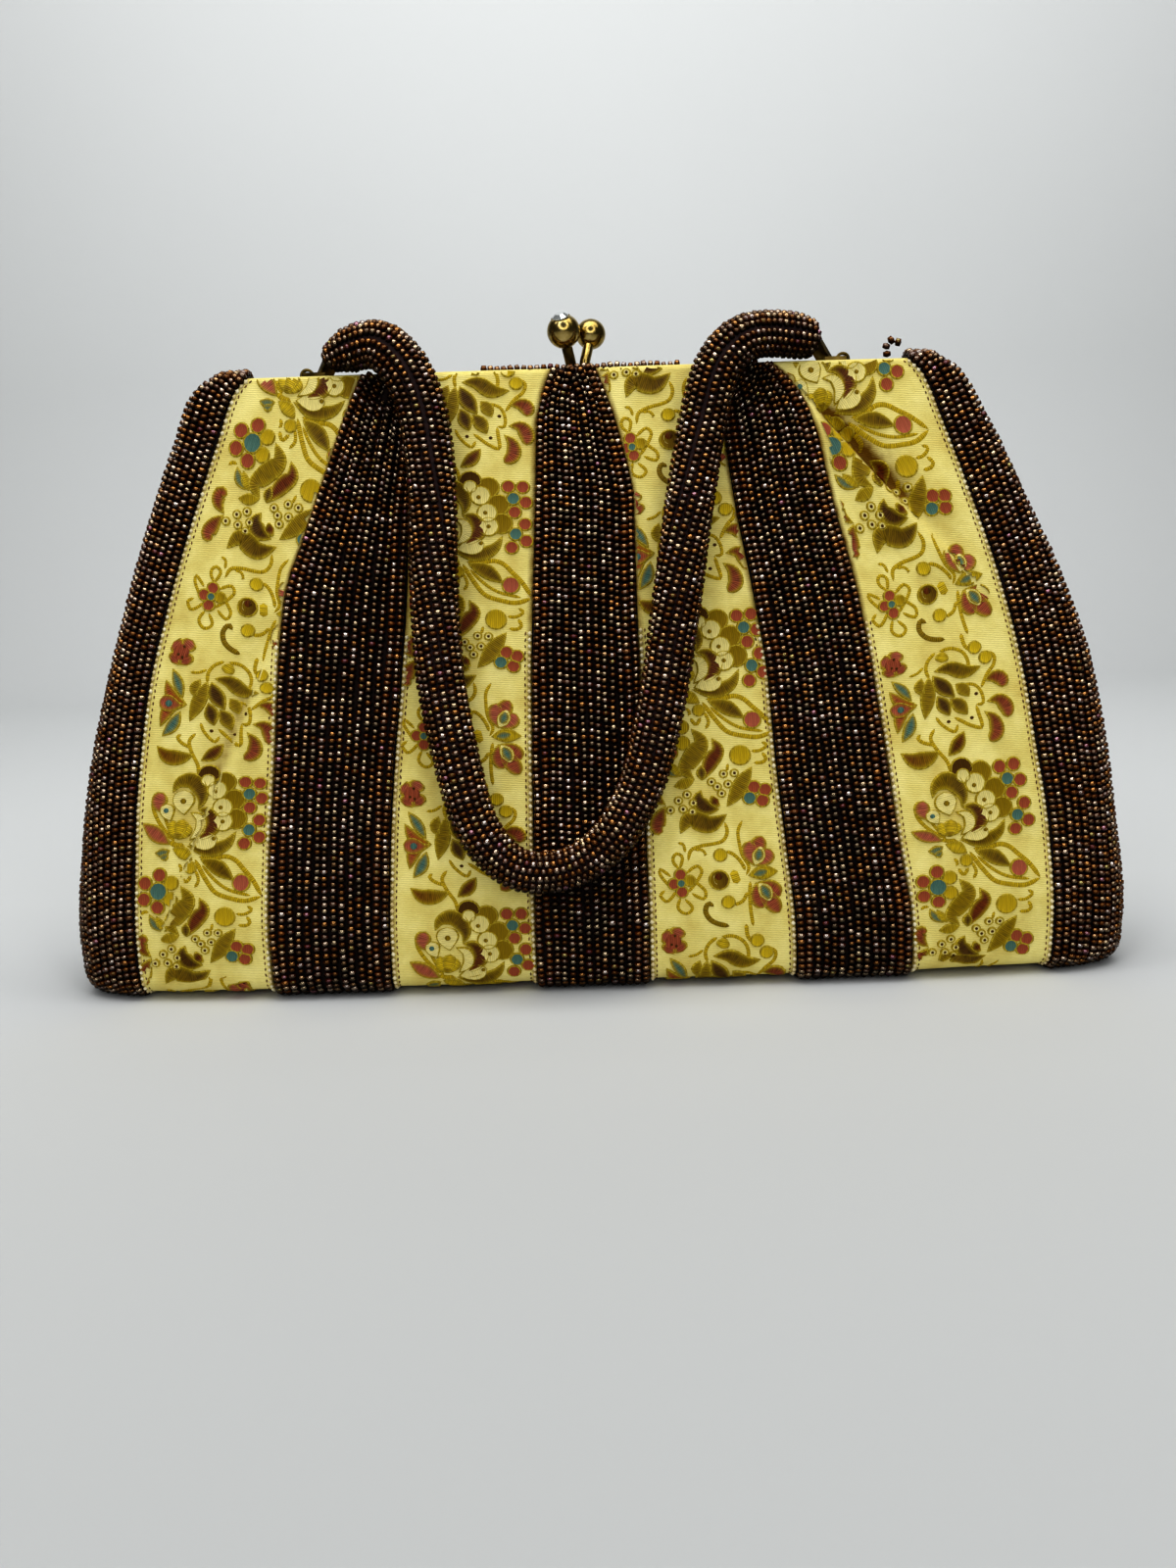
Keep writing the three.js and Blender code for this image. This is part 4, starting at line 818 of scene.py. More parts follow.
def mottled(name, scale, detail, tones, finish):
    """A material whose colour wanders between tones. Its scale is the number of patches in a metre."""
    material, tree, shader = new_material(name)
    place = add(tree, "ShaderNodeTexCoord").outputs["Object"]
    patches = add(tree, "ShaderNodeTexNoise", {"Vector": place, "Scale": scale, "Detail": detail})
    tone = add(tree, "ShaderNodeValToRGB", {"Fac": patches.outputs["Fac"]}, ramp=tones)
    fill(tree, shader, {"Base Color": tone.outputs["Color"], **finish})
    return material


# Brown cotton under the beads: dark and dull, with a grain of about 1 mm, seen only as gaps
bead_cloth = mottled("bead_cloth", 900.0, 3.0, [(0.3, "#120805"), (0.7, "#2a160e")], {"Roughness": 0.9})


def lathe(profile, sides):
    """Places and faces of a turned form from (radius, height) pairs, going up. No radius makes a point."""
    turn = 2 * np.pi * np.arange(sides) / sides
    places = []
    rings = []
    for radius, height in profile:
        start = len(places)
        corners = sides if radius > 0 else 1
        places += [(radius * np.cos(a), radius * np.sin(a), height) for a in turn[:corners]]
        rings.append([start + i % corners for i in range(sides)])
    faces = []
    for low, high in zip(rings[:-1], rings[1:]):
        for i in range(sides):
            j = (i + 1) % sides
            faces.append(list(dict.fromkeys([low[i], low[j], high[j], high[i]])))
    if profile[0][0] > 0:
        faces.append(rings[0][::-1])
    if profile[-1][0] > 0:
        faces.append(rings[-1])
    return np.array(places), faces


def bead_template(name, profile, sides):
    places, faces = lathe(profile, sides)
    mesh = bpy.data.meshes.new(name)
    mesh.from_pydata((places * MM).tolist(), [], faces)
    mesh.shade_smooth()
    template = bpy.data.objects.new(name, mesh)
    bpy.context.collection.objects.link(template)
    return template


BEAD_SIZES = (0.88, 1.1)
SIZE_SEED = 3
LEAN_SEED = 7


def bead_tree():
    """Sets a bead on every step of the strings, its hole along the string, a little out of line."""
    tree = bpy.data.node_groups.new("beads_on_strings", "GeometryNodeTree")
    for name, kind in [("Strings", "Geometry"), ("Bead", "Object"), ("Spacing", "Float"), ("Wobble", "Float"),
                       ("Seed", "Int"), ("Material", "Material")]:
        tree.interface.new_socket(name, in_out="INPUT", socket_type="NodeSocket" + kind)
    tree.interface.new_socket("Beads", in_out="OUTPUT", socket_type="NodeSocketGeometry")
    given = add(tree, "NodeGroupInput").outputs
    curves = add(tree, "GeometryNodeMeshToCurve", {"Mesh": given["Strings"]})
    points = add(tree, "GeometryNodeCurveToPoints", {"Curve": curves.outputs[0], "Length": given["Spacing"]},
                 mode="LENGTH")
    tint = add(tree, "FunctionNodeRandomValue", {"Seed": given["Seed"]}, data_type="FLOAT")
    tinted = add(tree, "GeometryNodeStoreNamedAttribute",
                 {"Geometry": points.outputs["Points"], "Name": "tint", "Value": tint.outputs[1]},
                 data_type="FLOAT", domain="POINT")
    outward = add(tree, "GeometryNodeInputNamedAttribute", {"Name": "outward"}, data_type="FLOAT_VECTOR")
    facing = add(tree, "FunctionNodeAxesToRotation",
                 {"Primary Axis": points.outputs["Tangent"], "Secondary Axis": outward.outputs[0]},
                 primary_axis="Z", secondary_axis="X")
    least = add(tree, "ShaderNodeMath", {0: given["Wobble"], 1: -1.0}, operation="MULTIPLY")
    low = add(tree, "ShaderNodeCombineXYZ", {i: least.outputs[0] for i in range(3)})
    high = add(tree, "ShaderNodeCombineXYZ", {i: given["Wobble"] for i in range(3)})
    lean = add(tree, "FunctionNodeRandomValue", {0: low.outputs[0], 1: high.outputs[0], "Seed": LEAN_SEED},
               data_type="FLOAT_VECTOR")
    leaning = add(tree, "FunctionNodeEulerToRotation", {0: lean.outputs[0]})
    turned = add(tree, "FunctionNodeRotateRotation", {0: facing.outputs[0], 1: leaning.outputs[0]},
                 rotation_space="LOCAL")
    size = add(tree, "FunctionNodeRandomValue", {2: BEAD_SIZES[0], 3: BEAD_SIZES[1], "Seed": SIZE_SEED},
               data_type="FLOAT")
    bead = add(tree, "GeometryNodeObjectInfo", {"Object": given["Bead"]})
    beads = add(tree, "GeometryNodeInstanceOnPoints",
                {"Points": tinted.outputs[0], "Instance": bead.outputs["Geometry"],
                 "Rotation": turned.outputs[0], "Scale": size.outputs[1]})
    whole = add(tree, "GeometryNodeRealizeInstances", {"Geometry": beads.outputs[0]})
    finished = add(tree, "GeometryNodeSetMaterial",
                   {"Geometry": whole.outputs[0], "Material": given["Material"]})
    add(tree, "NodeGroupOutput", {"Beads": finished.outputs[0]})
    return tree


BEADS_ON_STRINGS = bead_tree()


def threaded(name, strings, bead, spacing, material, seed):
    """Beads along strings. A string is its points, the directions away from the cloth, and how warm it is."""
    places = np.concatenate([points for points, _, _ in strings]) * MM
    outward = np.concatenate([away for _, away, _ in strings])
    warmth = np.concatenate([np.full(len(points), warm) for points, _, warm in strings])
    edges = []
    start = 0
    for points, _, _ in strings:
        edges += [(i, i + 1) for i in range(start, start + len(points) - 1)]
        start += len(points)
    mesh = bpy.data.meshes.new(name + "_strings")
    mesh.from_pydata(places.tolist(), edges, [])
    store(mesh, "outward", outward)
    store(mesh, "warm", warmth)
    holder = bpy.data.objects.new(name + "_strings", mesh)
    bpy.context.collection.objects.link(holder)
    modifier = holder.modifiers.new("beads", "NODES")
    modifier.node_group = BEADS_ON_STRINGS
    values = {"Bead": bead, "Spacing": spacing * MM, "Wobble": BEAD_LEAN, "Seed": seed, "Material": material}
    for item in BEADS_ON_STRINGS.interface.items_tree:
        if item.name in values:
            modifier[item.identifier] = values[item.name]
    solved = holder.evaluated_get(bpy.context.evaluated_depsgraph_get())
    result = bpy.data.meshes.new_from_object(solved)
    bpy.data.objects.remove(holder)
    result.name = name
    return placed(name, result)


half_bead = BEAD_LONG / 2
barrel = BEAD_BARREL / 2
bead_profile = [(0.0, -half_bead), (BEAD_WIDE / 2, -barrel), (BEAD_WIDE / 2, barrel), (0.0, half_bead)]
seed_bead = bead_template("seed_bead", bead_profile, BEAD_SIDES)
BANDS = {"bead_band_left": (-3, -2), "bead_band_middle": (-1, 1), "bead_band_right": (2, 3)}
WAVER = {"long": 9.0, "long_wide": 0.16, "short": 3.7, "short_wide": 0.112}


def beaded(name, strings, seed):
    return threaded(name, strings, seed_bead, BEAD_SPACING, bronze_glass, seed)


def waver(dice, way):
    """Small sideways wandering of a hand-sewn column, in a long wave and a short one."""
    phase = dice.uniform(0, 2 * np.pi, 2)
    long_wave = WAVER["long_wide"] * np.sin(way / WAVER["long"] + phase[0])
    return long_wave + WAVER["short_wide"] * np.sin(way / WAVER["short"] + phase[1])


def band_strings(edges, dice):
    """Columns that keep their distance from the nearer edge, and stop where the gathers swallow them."""
    strings = []
    for column in range(BAND_COLUMNS):
        way = np.linspace(dice.uniform(0, BEAD_SPACING), STRIP_LENGTH, COLUMN_POINTS)
        left = edge_x(edges[0], way)
        right = edge_x(edges[1], way)
        wide = right - left
        squeeze = np.maximum(wide / wide.max(), TIGHTEST)
        pitch = wide.max() / BAND_COLUMNS * squeeze
        number = min(column, BAND_COLUMNS - 1 - column)
        from_edge = (number + 0.5) * pitch
        x = left + from_edge if column < BAND_COLUMNS / 2 else right - from_edge
        room = wide / 2 - from_edge
        shown = room > SWALLOWED * pitch
        pleat = -PLEAT_DEPTH * (1 - squeeze) * (column % 2)
        depth = pleat - PLEAT_DEPTH * np.clip(1 - room / pitch, 0, 1) * (1 - squeeze)
        warm = COLUMN_WARMTH.get(number, 0.0)
        x = x + waver(dice, way)
        outward = wall_outward(way, x)
        points = wall_point(way, x) + outward * (BEAD_HEIGHT + depth)[:, None]
        strings.append((points[shown], outward[shown], warm))
    return strings


def band_cloth(name, edges):
    way, x = cloth_grid(edges, 2 * CLOTH_STEP)
    points = wall_point(way, x)
    outward = wall_outward(way, x)
    places = np.concatenate([points.reshape(-1, 3), (points - outward * RIBBON_THICK).reshape(-1, 3)])
    return make_piece(name + "_cloth", places, shell_faces(*way.shape), bead_cloth)


for seed, (name, edges) in enumerate(BANDS.items()):
    band_cloth(name, edges)
    strings = band_strings(edges, np.random.default_rng(seed))
    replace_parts(beaded(name + "_beads", strings, seed), name)

# Ribbon edges. Each ribbon has a woven edge of cream loops, and brown thread stitches it down just inside
# them. The loops show along the whole outer edges of ribbons 1 and 4, and on the others below the gathers.
LOOP = {"long": 1.25, "wide": 1.35, "end": 0.25, "step": 1.75, "inset": 0.75, "rise": 0.2}
DASH = {"long": 1.0, "wide": 0.5, "end": 0.2, "step": 1.75, "inset": 1.9, "rise": 0.05}
GATHERED_ABOVE = 100
OUTER_EDGE = 4
STITCH_SIDES = 5
edge_ways = np.linspace(1.0, STRIP_LENGTH - 1.0, COLUMN_POINTS)


def sewing_thread(name, dark, pale):
    """Dull cotton whose tone changes from stitch to stitch."""
    material, tree, shader = new_material(name)
    tint = add(tree, "ShaderNodeAttribute", attribute_name="tint").outputs["Fac"]
    tone = add(tree, "ShaderNodeValToRGB", {"Fac": tint}, ramp=[(0.0, dark), (1.0, pale)])
    fill(tree, shader, {"Base Color": tone.outputs["Color"], "Roughness": 0.7})
    return material


# Cream loops, a little uneven in tone, and brown sewing thread with some stitches paler from rubbing
EDGE_THREADS = [
    ("edge_loops", LOOP, sewing_thread("loop_thread", "#d8c48c", "#f4ecca"), 41),
    ("edge_stitches", DASH, sewing_thread("dash_thread", "#4e3010", "#86622a"), 42),
]


def edge_strings(stitch):
    strings = []
    for name, ribbon in RIBBONS.items():
        for edge, inward in zip(ribbon["edges"], (1, -1)):
            x = edge_x(edge, edge_ways) + inward * stitch["inset"]
            points = wall_point(edge_ways, x)
            away = wall_outward(edge_ways, x)
            points = points + away * (cloth_lift(name, points) + stitch["rise"])[:, None]
            shown = (points[:, 2] < GATHERED_ABOVE) | (abs(edge) == OUTER_EDGE)
            strings.append((points[shown], away[shown], 0.0))
    return strings


for name, stitch, thread, seed in EDGE_THREADS:
    half = stitch["long"] / 2
    profile = [(stitch["end"] / 2, -half), (stitch["wide"] / 2, 0.0), (stitch["end"] / 2, half)]
    template = bead_template(name, profile, STITCH_SIDES)
    threaded(name, edge_strings(stitch), template, stitch["step"], thread, seed)
    bpy.data.objects.remove(template)

# Side bands. A beaded strip wraps round each side of the bag, from the front ribbon's edge to the back one's,
# and closes over the shoulder beside the end of the frame. The columns run out at the side seam.
SIDE_PITCH = 2.2
SIDE_WARMTH = 0.5
SIDE_SEEDS = {"side_band_left": 9, "side_band_right": 11}
SEAM_ROOM = 0.3
ARC_POINTS = 80
SIDE_SHARES = np.linspace(0, 1, 25)
CAP_HIGH = 1.3
CAP_SHARES = [0.85, 0.6, 0.3, 0.0]
side_ways = np.linspace(0, STRIP_LENGTH, 281)


def side_grid(sign):
    """Points and normals of the side from the ribbon's edge to the side seam, and each row's width."""
    half = wall_value("left" if sign < 0 else "right", side_ways)
    depth = wall_value("depth", side_ways)
    edge = wall_value("left_4" if sign < 0 else "right_4", side_ways) + STRIP_GAP / 2
    side = np.where(side_ways < WALL_LENGTH, -1, 1)
    points = np.zeros((len(side_ways), len(SIDE_SHARES), 3))
    widths = np.zeros(len(side_ways))
    for i in range(len(side_ways)):
        first = np.arcsin((edge[i] / half[i]) ** (SIDE_ROUNDNESS / 2))
        turn = np.linspace(first, np.pi / 2, ARC_POINTS)
        x = half[i] * np.sin(turn) ** (2 / SIDE_ROUNDNESS)
        y = depth[i] * np.maximum(np.cos(turn), 0) ** (2 / SIDE_ROUNDNESS)
        y[-1] = 0.0
        far = np.concatenate([[0.0], np.cumsum(np.hypot(np.diff(x), np.diff(y)))])
        goal = SIDE_SHARES * far[-1]
        points[i, :, 0] = sign * np.interp(goal, far, x)
        points[i, :, 1] = side[i] * np.interp(goal, far, y)
        points[i, :, 2] = wall_value("z", side_ways[i])
        widths[i] = far[-1]
    along = np.gradient(points, axis=0)
    across = np.gradient(points, axis=1)
    normal = sign * np.cross(along, across)
    long = np.linalg.norm(normal, axis=-1, keepdims=True)
    least = 1e-6
    flat_row = np.array([0.0, 0.0, -1.0])
    normal = np.where(long > least, normal / np.maximum(long, least), flat_row)
    return points, normal, widths


def with_cap(points, normal):
    """The rows closed over the shoulder from the back rim to the front one."""
    def cap(rim, share):
        row = rim.copy()
        row[:, 1] *= share
        row[:, 2] += CAP_HIGH * (1 - share**2) * (1 - SIDE_SHARES**3)
        return row

    def cap_normal(rim, share):
        row = rim * share
        row[:, 2] += 1 - share
        return unit(row)

    before = [cap(points[0], share) for share in CAP_SHARES[::-1]]
    after = [cap(points[-1], share) for share in CAP_SHARES]
    normal_before = [cap_normal(normal[0], share) for share in CAP_SHARES[::-1]]
    normal_after = [cap_normal(normal[-1], share) for share in CAP_SHARES]
    return np.array([*before, *points, *after]), np.array([*normal_before, *normal, *normal_after])


def side_strings(sign, dice):
    points, normal, widths = side_grid(sign)
    points, normal = with_cap(points, normal)
    extra = len(CAP_SHARES)
    widths = np.concatenate([np.full(extra, widths[0]), widths, np.full(extra, widths[-1])])
    rows = np.arange(len(widths))
    strings = []
    for column in range(int(widths.max() / SIDE_PITCH)):
        from_edge = (column + 0.5) * SIDE_PITCH + waver(dice, rows * STRIP_LENGTH / len(rows))
        place = np.clip(from_edge / widths, 0, 1) * (len(SIDE_SHARES) - 1)
        i = np.minimum(place.astype(int), len(SIDE_SHARES) - 2)
        t = (place - i)[:, None]
        at = points[rows, i] * (1 - t) + points[rows, i + 1] * t
        away = unit(normal[rows, i] * (1 - t) + normal[rows, i + 1] * t)
        shown = from_edge < widths - SEAM_ROOM * SIDE_PITCH
        for run in np.split(rows, np.flatnonzero(np.diff(shown)) + 1):
            if shown[run[0]] and len(run) > 2:
                strings.append((at[run] + away[run] * BEAD_HEIGHT, away[run], SIDE_WARMTH))
    return strings


def side_cloth(name, sign):
    """Cloth of the side through every second row and column."""
    points, normal, _ = side_grid(sign)
    points, normal = [grid[::2, ::2] for grid in with_cap(points, normal)]
    places = np.concatenate([points.reshape(-1, 3), (points - normal * RIBBON_THICK).reshape(-1, 3)])
    faces = shell_faces(*points.shape[:2])
    if sign < 0:
        faces = faces[:, ::-1]
    return make_piece(name + "_cloth", places, faces, bead_cloth)


for name, sign in [("side_band_left", -1), ("side_band_right", 1)]:
    side_cloth(name, sign)
    strings = side_strings(sign, np.random.default_rng(SIDE_SEEDS[name]))
    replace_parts(beaded(name + "_beads", strings, SIDE_SEEDS[name]), name)

# Frame. Two flat brass bars lie just inside the mouth, hinged on pins low in the sides. Each carries a bent
# stem with a snap ball that pushes past the other. The back bar also carries the lugs for the strap.
PLATE = {"near": 0.3, "far": 3.7, "top": 169.6, "high": 6.5, "half": 84.0, "arm": 5.0, "shoulder": 6.0,
         "corner_out": 2.0, "corner_down": 3.0, "bevel": 0.25}
HINGE = {"x": 103.0, "z": 142.6, "eye": 3.6, "hole": 1.8, "from_turn": 45, "to_turn": -144}
LUG = {"x": 75.0, "y": 2.0, "z": 171.6, "radius": 2.0, "hole": 1.25, "thick": 1.8, "foot": 168.6}
FRONT_BALL = {"at": (4.7, 2.8, 180.6), "radius": 4.15, "stem": 1.45, "foot": (2.7, -2.0)}
BACK_BALL = {"at": (-2.8, -2.6, 180.8), "radius": 4.6, "stem": 1.5, "foot": (-1.0, 2.0)}
STEM = {"root": -2.0, "leave": 2.2, "bend": 6.6, "lean": 0.9, "step": 0.7}
STONE = {"girdle": 2.4, "pavilion": 1.5, "sink": 0.55, "seat": 0.3, "lip": 0.09, "hollow": 0.05}
STONE_TURN = Matrix.Rotation(math.radians(-12), 3, "Y") @ Matrix.Rotation(math.radians(27), 3, "X")
BALL_SIDES = 32
BALL_RINGS = 22
BALL_POLE = 0.02
STEM_SIDES = 16
EYE_POINTS = 14
LUG_POINTS = 13
HOLE_POINTS = 16
SHARP_EDGE = math.radians(38)

# Polished brass, rubbed by use: warm, with browner patches of about 5 mm where fingers don't reach, and
# scratches drawn at about 0.7 mm, coarser than the real ones
brass, tree, shader = new_material("polished_brass")
place = add(tree, "ShaderNodeTexCoord").outputs["Object"]
patina = add(tree, "ShaderNodeTexNoise", {"Vector": place, "Scale": 220.0, "Detail": 5.0, "Roughness": 0.65})
brass_tone = add(tree, "ShaderNodeValToRGB", {"Fac": patina.outputs["Fac"]},
                 ramp=[(0.3, "#665728"), (0.5, "#a48f54"), (0.7, "#cbb880")])
scratches = add(tree, "ShaderNodeTexNoise", {"Vector": place, "Scale": 1500.0, "Detail": 2.0})
brass_rough = add(tree, "ShaderNodeMapRange", {"Value": patina.outputs["Fac"], "To Min": 0.3, "To Max": 0.12})
brass_bump = add(tree, "ShaderNodeBump",
                 {"Height": scratches.outputs["Fac"], "Strength": 0.1, "Distance": 0.1 * MM})
fill(tree, shader, {"Base Color": brass_tone.outputs["Color"], "Roughness": brass_rough.outputs[0],
                    "Normal": brass_bump.outputs[0], "Metallic": 1.0})

# Old brass: dull and brown, in patches of about 3 mm, with a greenish tinge in the low spots
old_tones = [(0.3, "#3a3418"), (0.5, "#6b5a2c"), (0.7, "#8f7a40")]
old_brass = mottled("old_brass", 300.0, 5.0, old_tones, {"Metallic": 0.85, "Roughness": 0.42})

# Cut glass with a silver foil behind it: sharp facets that are either bright or dark
crystal, tree, shader = new_material("crystal")
place = add(tree, "ShaderNodeTexCoord").outputs["Object"]
cloud = add(tree, "ShaderNodeTexNoise", {"Vector": place, "Scale": 400.0})
clear = add(tree, "ShaderNodeMapRange", {"Value": cloud.outputs["Fac"], "To Min": 0.02, "To Max": 0.08})
fill(tree, shader, {"Base Color": colour("#c4c8c6"), "Roughness": clear.outputs[0], "Metallic": 0.65,
                    "Coat Weight": 1.0, "Coat Roughness": 0.02})


def arc(x, z, radius, start, end, steps):
    turn = np.linspace(start, end, steps)
    return [(x + radius * math.cos(a), z + radius * math.sin(a)) for a in turn]


def round_hole(x, z, radius):
    return arc(x, z, radius, 0, 2 * math.pi, HOLE_POINTS + 1)[:-1]


def plate_parts(outline, holes, middle_y, thick):
    """A flat upright plate with rounded edges, from an outline and holes in x and z."""
    bevel = PLATE["bevel"]
    curve = bpy.data.curves.new("plate", "CURVE")
    curve.dimensions = "2D"
    curve.fill_mode = "BOTH"
    curve.extrude = (thick / 2 - bevel) * MM
    curve.bevel_depth = bevel * MM
    curve.bevel_resolution = 1
    curve.offset = -bevel * MM
    for ring in [outline, *holes]:
        spline = curve.splines.new("POLY")
        spline.points.add(len(ring) - 1)
        for point, (x, z) in zip(spline.points, ring):
            point.co = (x * MM, z * MM, 0, 1)
        spline.use_cyclic_u = True
    flat = bpy.data.objects.new("plate", curve)
    bpy.context.collection.objects.link(flat)
    solved = flat.evaluated_get(bpy.context.evaluated_depsgraph_get())
    mesh = bpy.data.meshes.new_from_object(solved)
    bpy.data.objects.remove(flat)
    mesh.transform(Matrix.Translation((0, middle_y * MM, 0)) @ Matrix.Rotation(math.pi / 2, 4, "X"))
    return mesh


def frame_outline():
    top = PLATE["top"]
    corner = PLATE["half"] + PLATE["corner_out"]
    right = [(PLATE["half"] - PLATE["shoulder"], top), (corner, top - PLATE["corner_down"])]
    turns = math.radians(HINGE["from_turn"]), math.radians(HINGE["to_turn"])
    right += arc(HINGE["x"], HINGE["z"], HINGE["eye"], *turns, EYE_POINTS)
    right += [(corner - PLATE["arm"], top - PLATE["high"])]
    left = [(-x, z) for x, z in right[::-1]]
    return right + left


def tube(path, radius, sides):
    """Places and faces of a round bar along a path, with closed ends."""
    path = np.asarray(path)
    run = unit(np.gradient(path, axis=0))
    never_along = [0.0, 1.0, 0.01]
    side = unit(np.cross(run, never_along))
    up = np.cross(side, run)
    turn = (2 * np.pi * np.arange(sides) / sides)[:, None]
    rings = path[:, None] + radius * (side[:, None] * np.cos(turn) + up[:, None] * np.sin(turn))
    faces = []
    for k in range(len(path) - 1):
        for i in range(sides):
            j = (i + 1) % sides
            faces.append([k * sides + i, (k + 1) * sides + i, (k + 1) * sides + j, k * sides + j])
    last = (len(path) - 1) * sides
    faces.append(list(range(sides)))
    faces.append([last + i for i in range(sides)][::-1])
    return rings.reshape(-1, 3), faces


def ball_profile(radius, seated):
    """A ball from bottom to top. A seated one ends in the rim and hollow that hold a stone."""
    opening = STONE["girdle"] + STONE["seat"]
    top_turn = math.pi / 2 - (math.asin(opening / radius) if seated else BALL_POLE)
    turns = np.linspace(-math.pi / 2 + BALL_POLE, top_turn, BALL_RINGS)
    profile = [(radius * math.cos(a), radius * math.sin(a)) for a in turns]
    if seated:
        base = radius - STONE["sink"]
        profile.append((opening, base - STONE["lip"]))
        profile.append((STONE["hollow"], base - STONE["pavilion"] - STONE["seat"]))
    return profile


def snap_path(snap):
    foot_x, foot_y = snap["foot"]
    x, y, z = snap["at"]
    top = PLATE["top"]
    points = [(foot_x, foot_y, top + STEM["root"]), (foot_x, foot_y * STEM["lean"], top + STEM["leave"]),
              ((foot_x + x) / 2, (foot_y + y) / 2, top + STEM["bend"]), (x, y, z)]
    return smooth_path(points, STEM["step"])[0]


def metal_piece(name, meshes, solids, materials):
    """One piece from ready meshes in metres and from places and faces in millimetres. Each comes with the
    number of its material."""
    work = bmesh.new()
    for mesh, number in meshes:
        for polygon in mesh.polygons:
            polygon.material_index = number
        work.from_mesh(mesh)
        bpy.data.meshes.remove(mesh)
    for (places, faces), number in solids:
        verts = [work.verts.new(Vector(place) * MM) for place in places]
        for face in faces:
            work.faces.new([verts[i] for i in face]).material_index = number
    bmesh.ops.recalc_face_normals(work, faces=work.faces)
    mesh = bpy.data.meshes.new(name)
    work.to_mesh(mesh)
    work.free()
    mesh.shade_smooth()
    mesh.set_sharp_from_angle(angle=SHARP_EDGE)
    for material in materials:
        mesh.materials.append(material)
    return placed(name, mesh)


pin_holes = [round_hole(x, HINGE["z"], HINGE["hole"]) for x in (-HINGE["x"], HINGE["x"])]
plate_thick = PLATE["far"] - PLATE["near"]
plate_middle = (PLATE["far"] + PLATE["near"]) / 2
for name, snap, side in [("frame_front", FRONT_BALL, -1), ("frame_back", BACK_BALL, 1)]:
    meshes = [(plate_parts(frame_outline(), pin_holes, side * plate_middle, plate_thick), 0)]
    ball, ball_faces = lathe(ball_profile(snap["radius"], side > 0), BALL_SIDES)
    if side > 0:
        ball = ball @ np.array(STONE_TURN).T
    stem = tube(snap_path(snap), snap["stem"], STEM_SIDES)
    solids = [((ball + np.array(snap["at"]), ball_faces), 0), (stem, 1 if side > 0 else 0)]
    if side > 0:
        for x in (-LUG["x"], LUG["x"]):
            tab = [(x - LUG["radius"], LUG["foot"]), (x + LUG["radius"], LUG["foot"])]
            tab += arc(x, LUG["z"], LUG["radius"], 0, math.pi, LUG_POINTS)
            hole = round_hole(x, LUG["z"], LUG["hole"])
            meshes.append((plate_parts(tab, [hole], LUG["y"], LUG["thick"]), 1))
    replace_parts(metal_piece(name + "_brass", meshes, solids, [brass, old_brass]), name)

plain_nodes = {"hinge_pin_left": old_brass, "hinge_pin_right": old_brass, "snap_stone": crystal}
for name, material in plain_nodes.items():
    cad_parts[name].data.materials.clear()
    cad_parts[name].data.materials.append(material)

# Strap. A rolled tube of brown cotton, covered with beads in 15 rows, that rises from the lugs, falls over
# the front rim and hangs down the face. Its seam is bare and turns from the front to the inside.
STRAP_THICK = 9.8
STRAP_ROWS = [
    # x, z, lift off the face, width
    (-68.0, 174.9, -3.3, 7.4), (-61.5, 177.2, 0.0, 12.2), (-53.0, 177.6, 4.8, 13.4),
    (-46.4, 171.8, 8.0, 13.6), (-41.8, 161.1, 7.8, 13.6), (-39.6, 142.6, 7.4, 13.4),
    (-39.8, 117.6, 7.4, 13.4), (-39.0, 90.6, 7.4, 13.4), (-35.8, 69.6, 7.4, 13.0),
    (-29.5, 47.1, 7.4, 12.4), (-20.0, 37.2, 7.4, 11.8), (-7.5, 36.4, 7.4, 11.6),
    (4.0, 42.6, 7.4, 12.0), (13.5, 56.6, 7.4, 12.6), (19.5, 75.6, 7.4, 13.2),
    (24.8, 103.1, 7.4, 13.4), (29.5, 131.6, 7.4, 13.4), (34.2, 155.6, 7.4, 13.2),
    (38.6, 169.1, 8.3, 13.0), (44.8, 175.6, 6.3, 12.8), (52.8, 177.8, 1.8, 12.6),
    (60.5, 177.4, -1.0, 12.6), (67.0, 176.4, -3.3, 10.6),
]
STRAP_STEP = 1.2
STRAP_FACING = (0.0, -1.0, 0.16)
STRAP_END = 3.5
END_LEAST = 0.12
STRAP_SIDES = 32
CLOTH_INSET = 1.3
BEAD_INSET = 0.95
THINNEST = 0.4
STRAP_BEAD_ROWS = 15
STRAP_WARMTH = 0.35
STRAP_SEED = 21
SEAM = {"wide": 0.6, "front": 95, "turn": 85, "turns": (0.12, 0.32), "returns": (0.68, 0.88)}
FACE_ROWS = 8
FACE_POINTS = 300
face_ways = np.linspace(0, WALL_ALONG[FACE_ROWS], FACE_POINTS)
face_depth = wall_value("depth", face_ways)
face_z = wall_value("z", face_ways)


def strap_shape():
    """The strap's middle, two cross directions, half width and thickness with rounded ends, and distance."""
    rows = np.array(STRAP_ROWS)
    depth = np.interp(-rows[:, 1], -face_z, face_depth)
    points = np.stack([rows[:, 0], -depth - rows[:, 2], rows[:, 1]], axis=-1)
    middle, far, place = smooth_path(points, STRAP_STEP)
    run = unit(np.gradient(middle, axis=0))
    across = unit(np.cross(run, unit(np.array(STRAP_FACING))))
    through = unit(np.cross(across, run))
    wide = np.interp(place, np.arange(len(rows)), rows[:, 3])
    from_end = np.minimum(far, far[-1] - far)
    rounding = np.sqrt(np.clip(1 - (1 - np.minimum(1, from_end / STRAP_END)) ** 2, END_LEAST, 1))
    return middle, across, through, wide / 2 * rounding, STRAP_THICK / 2 * rounding, far


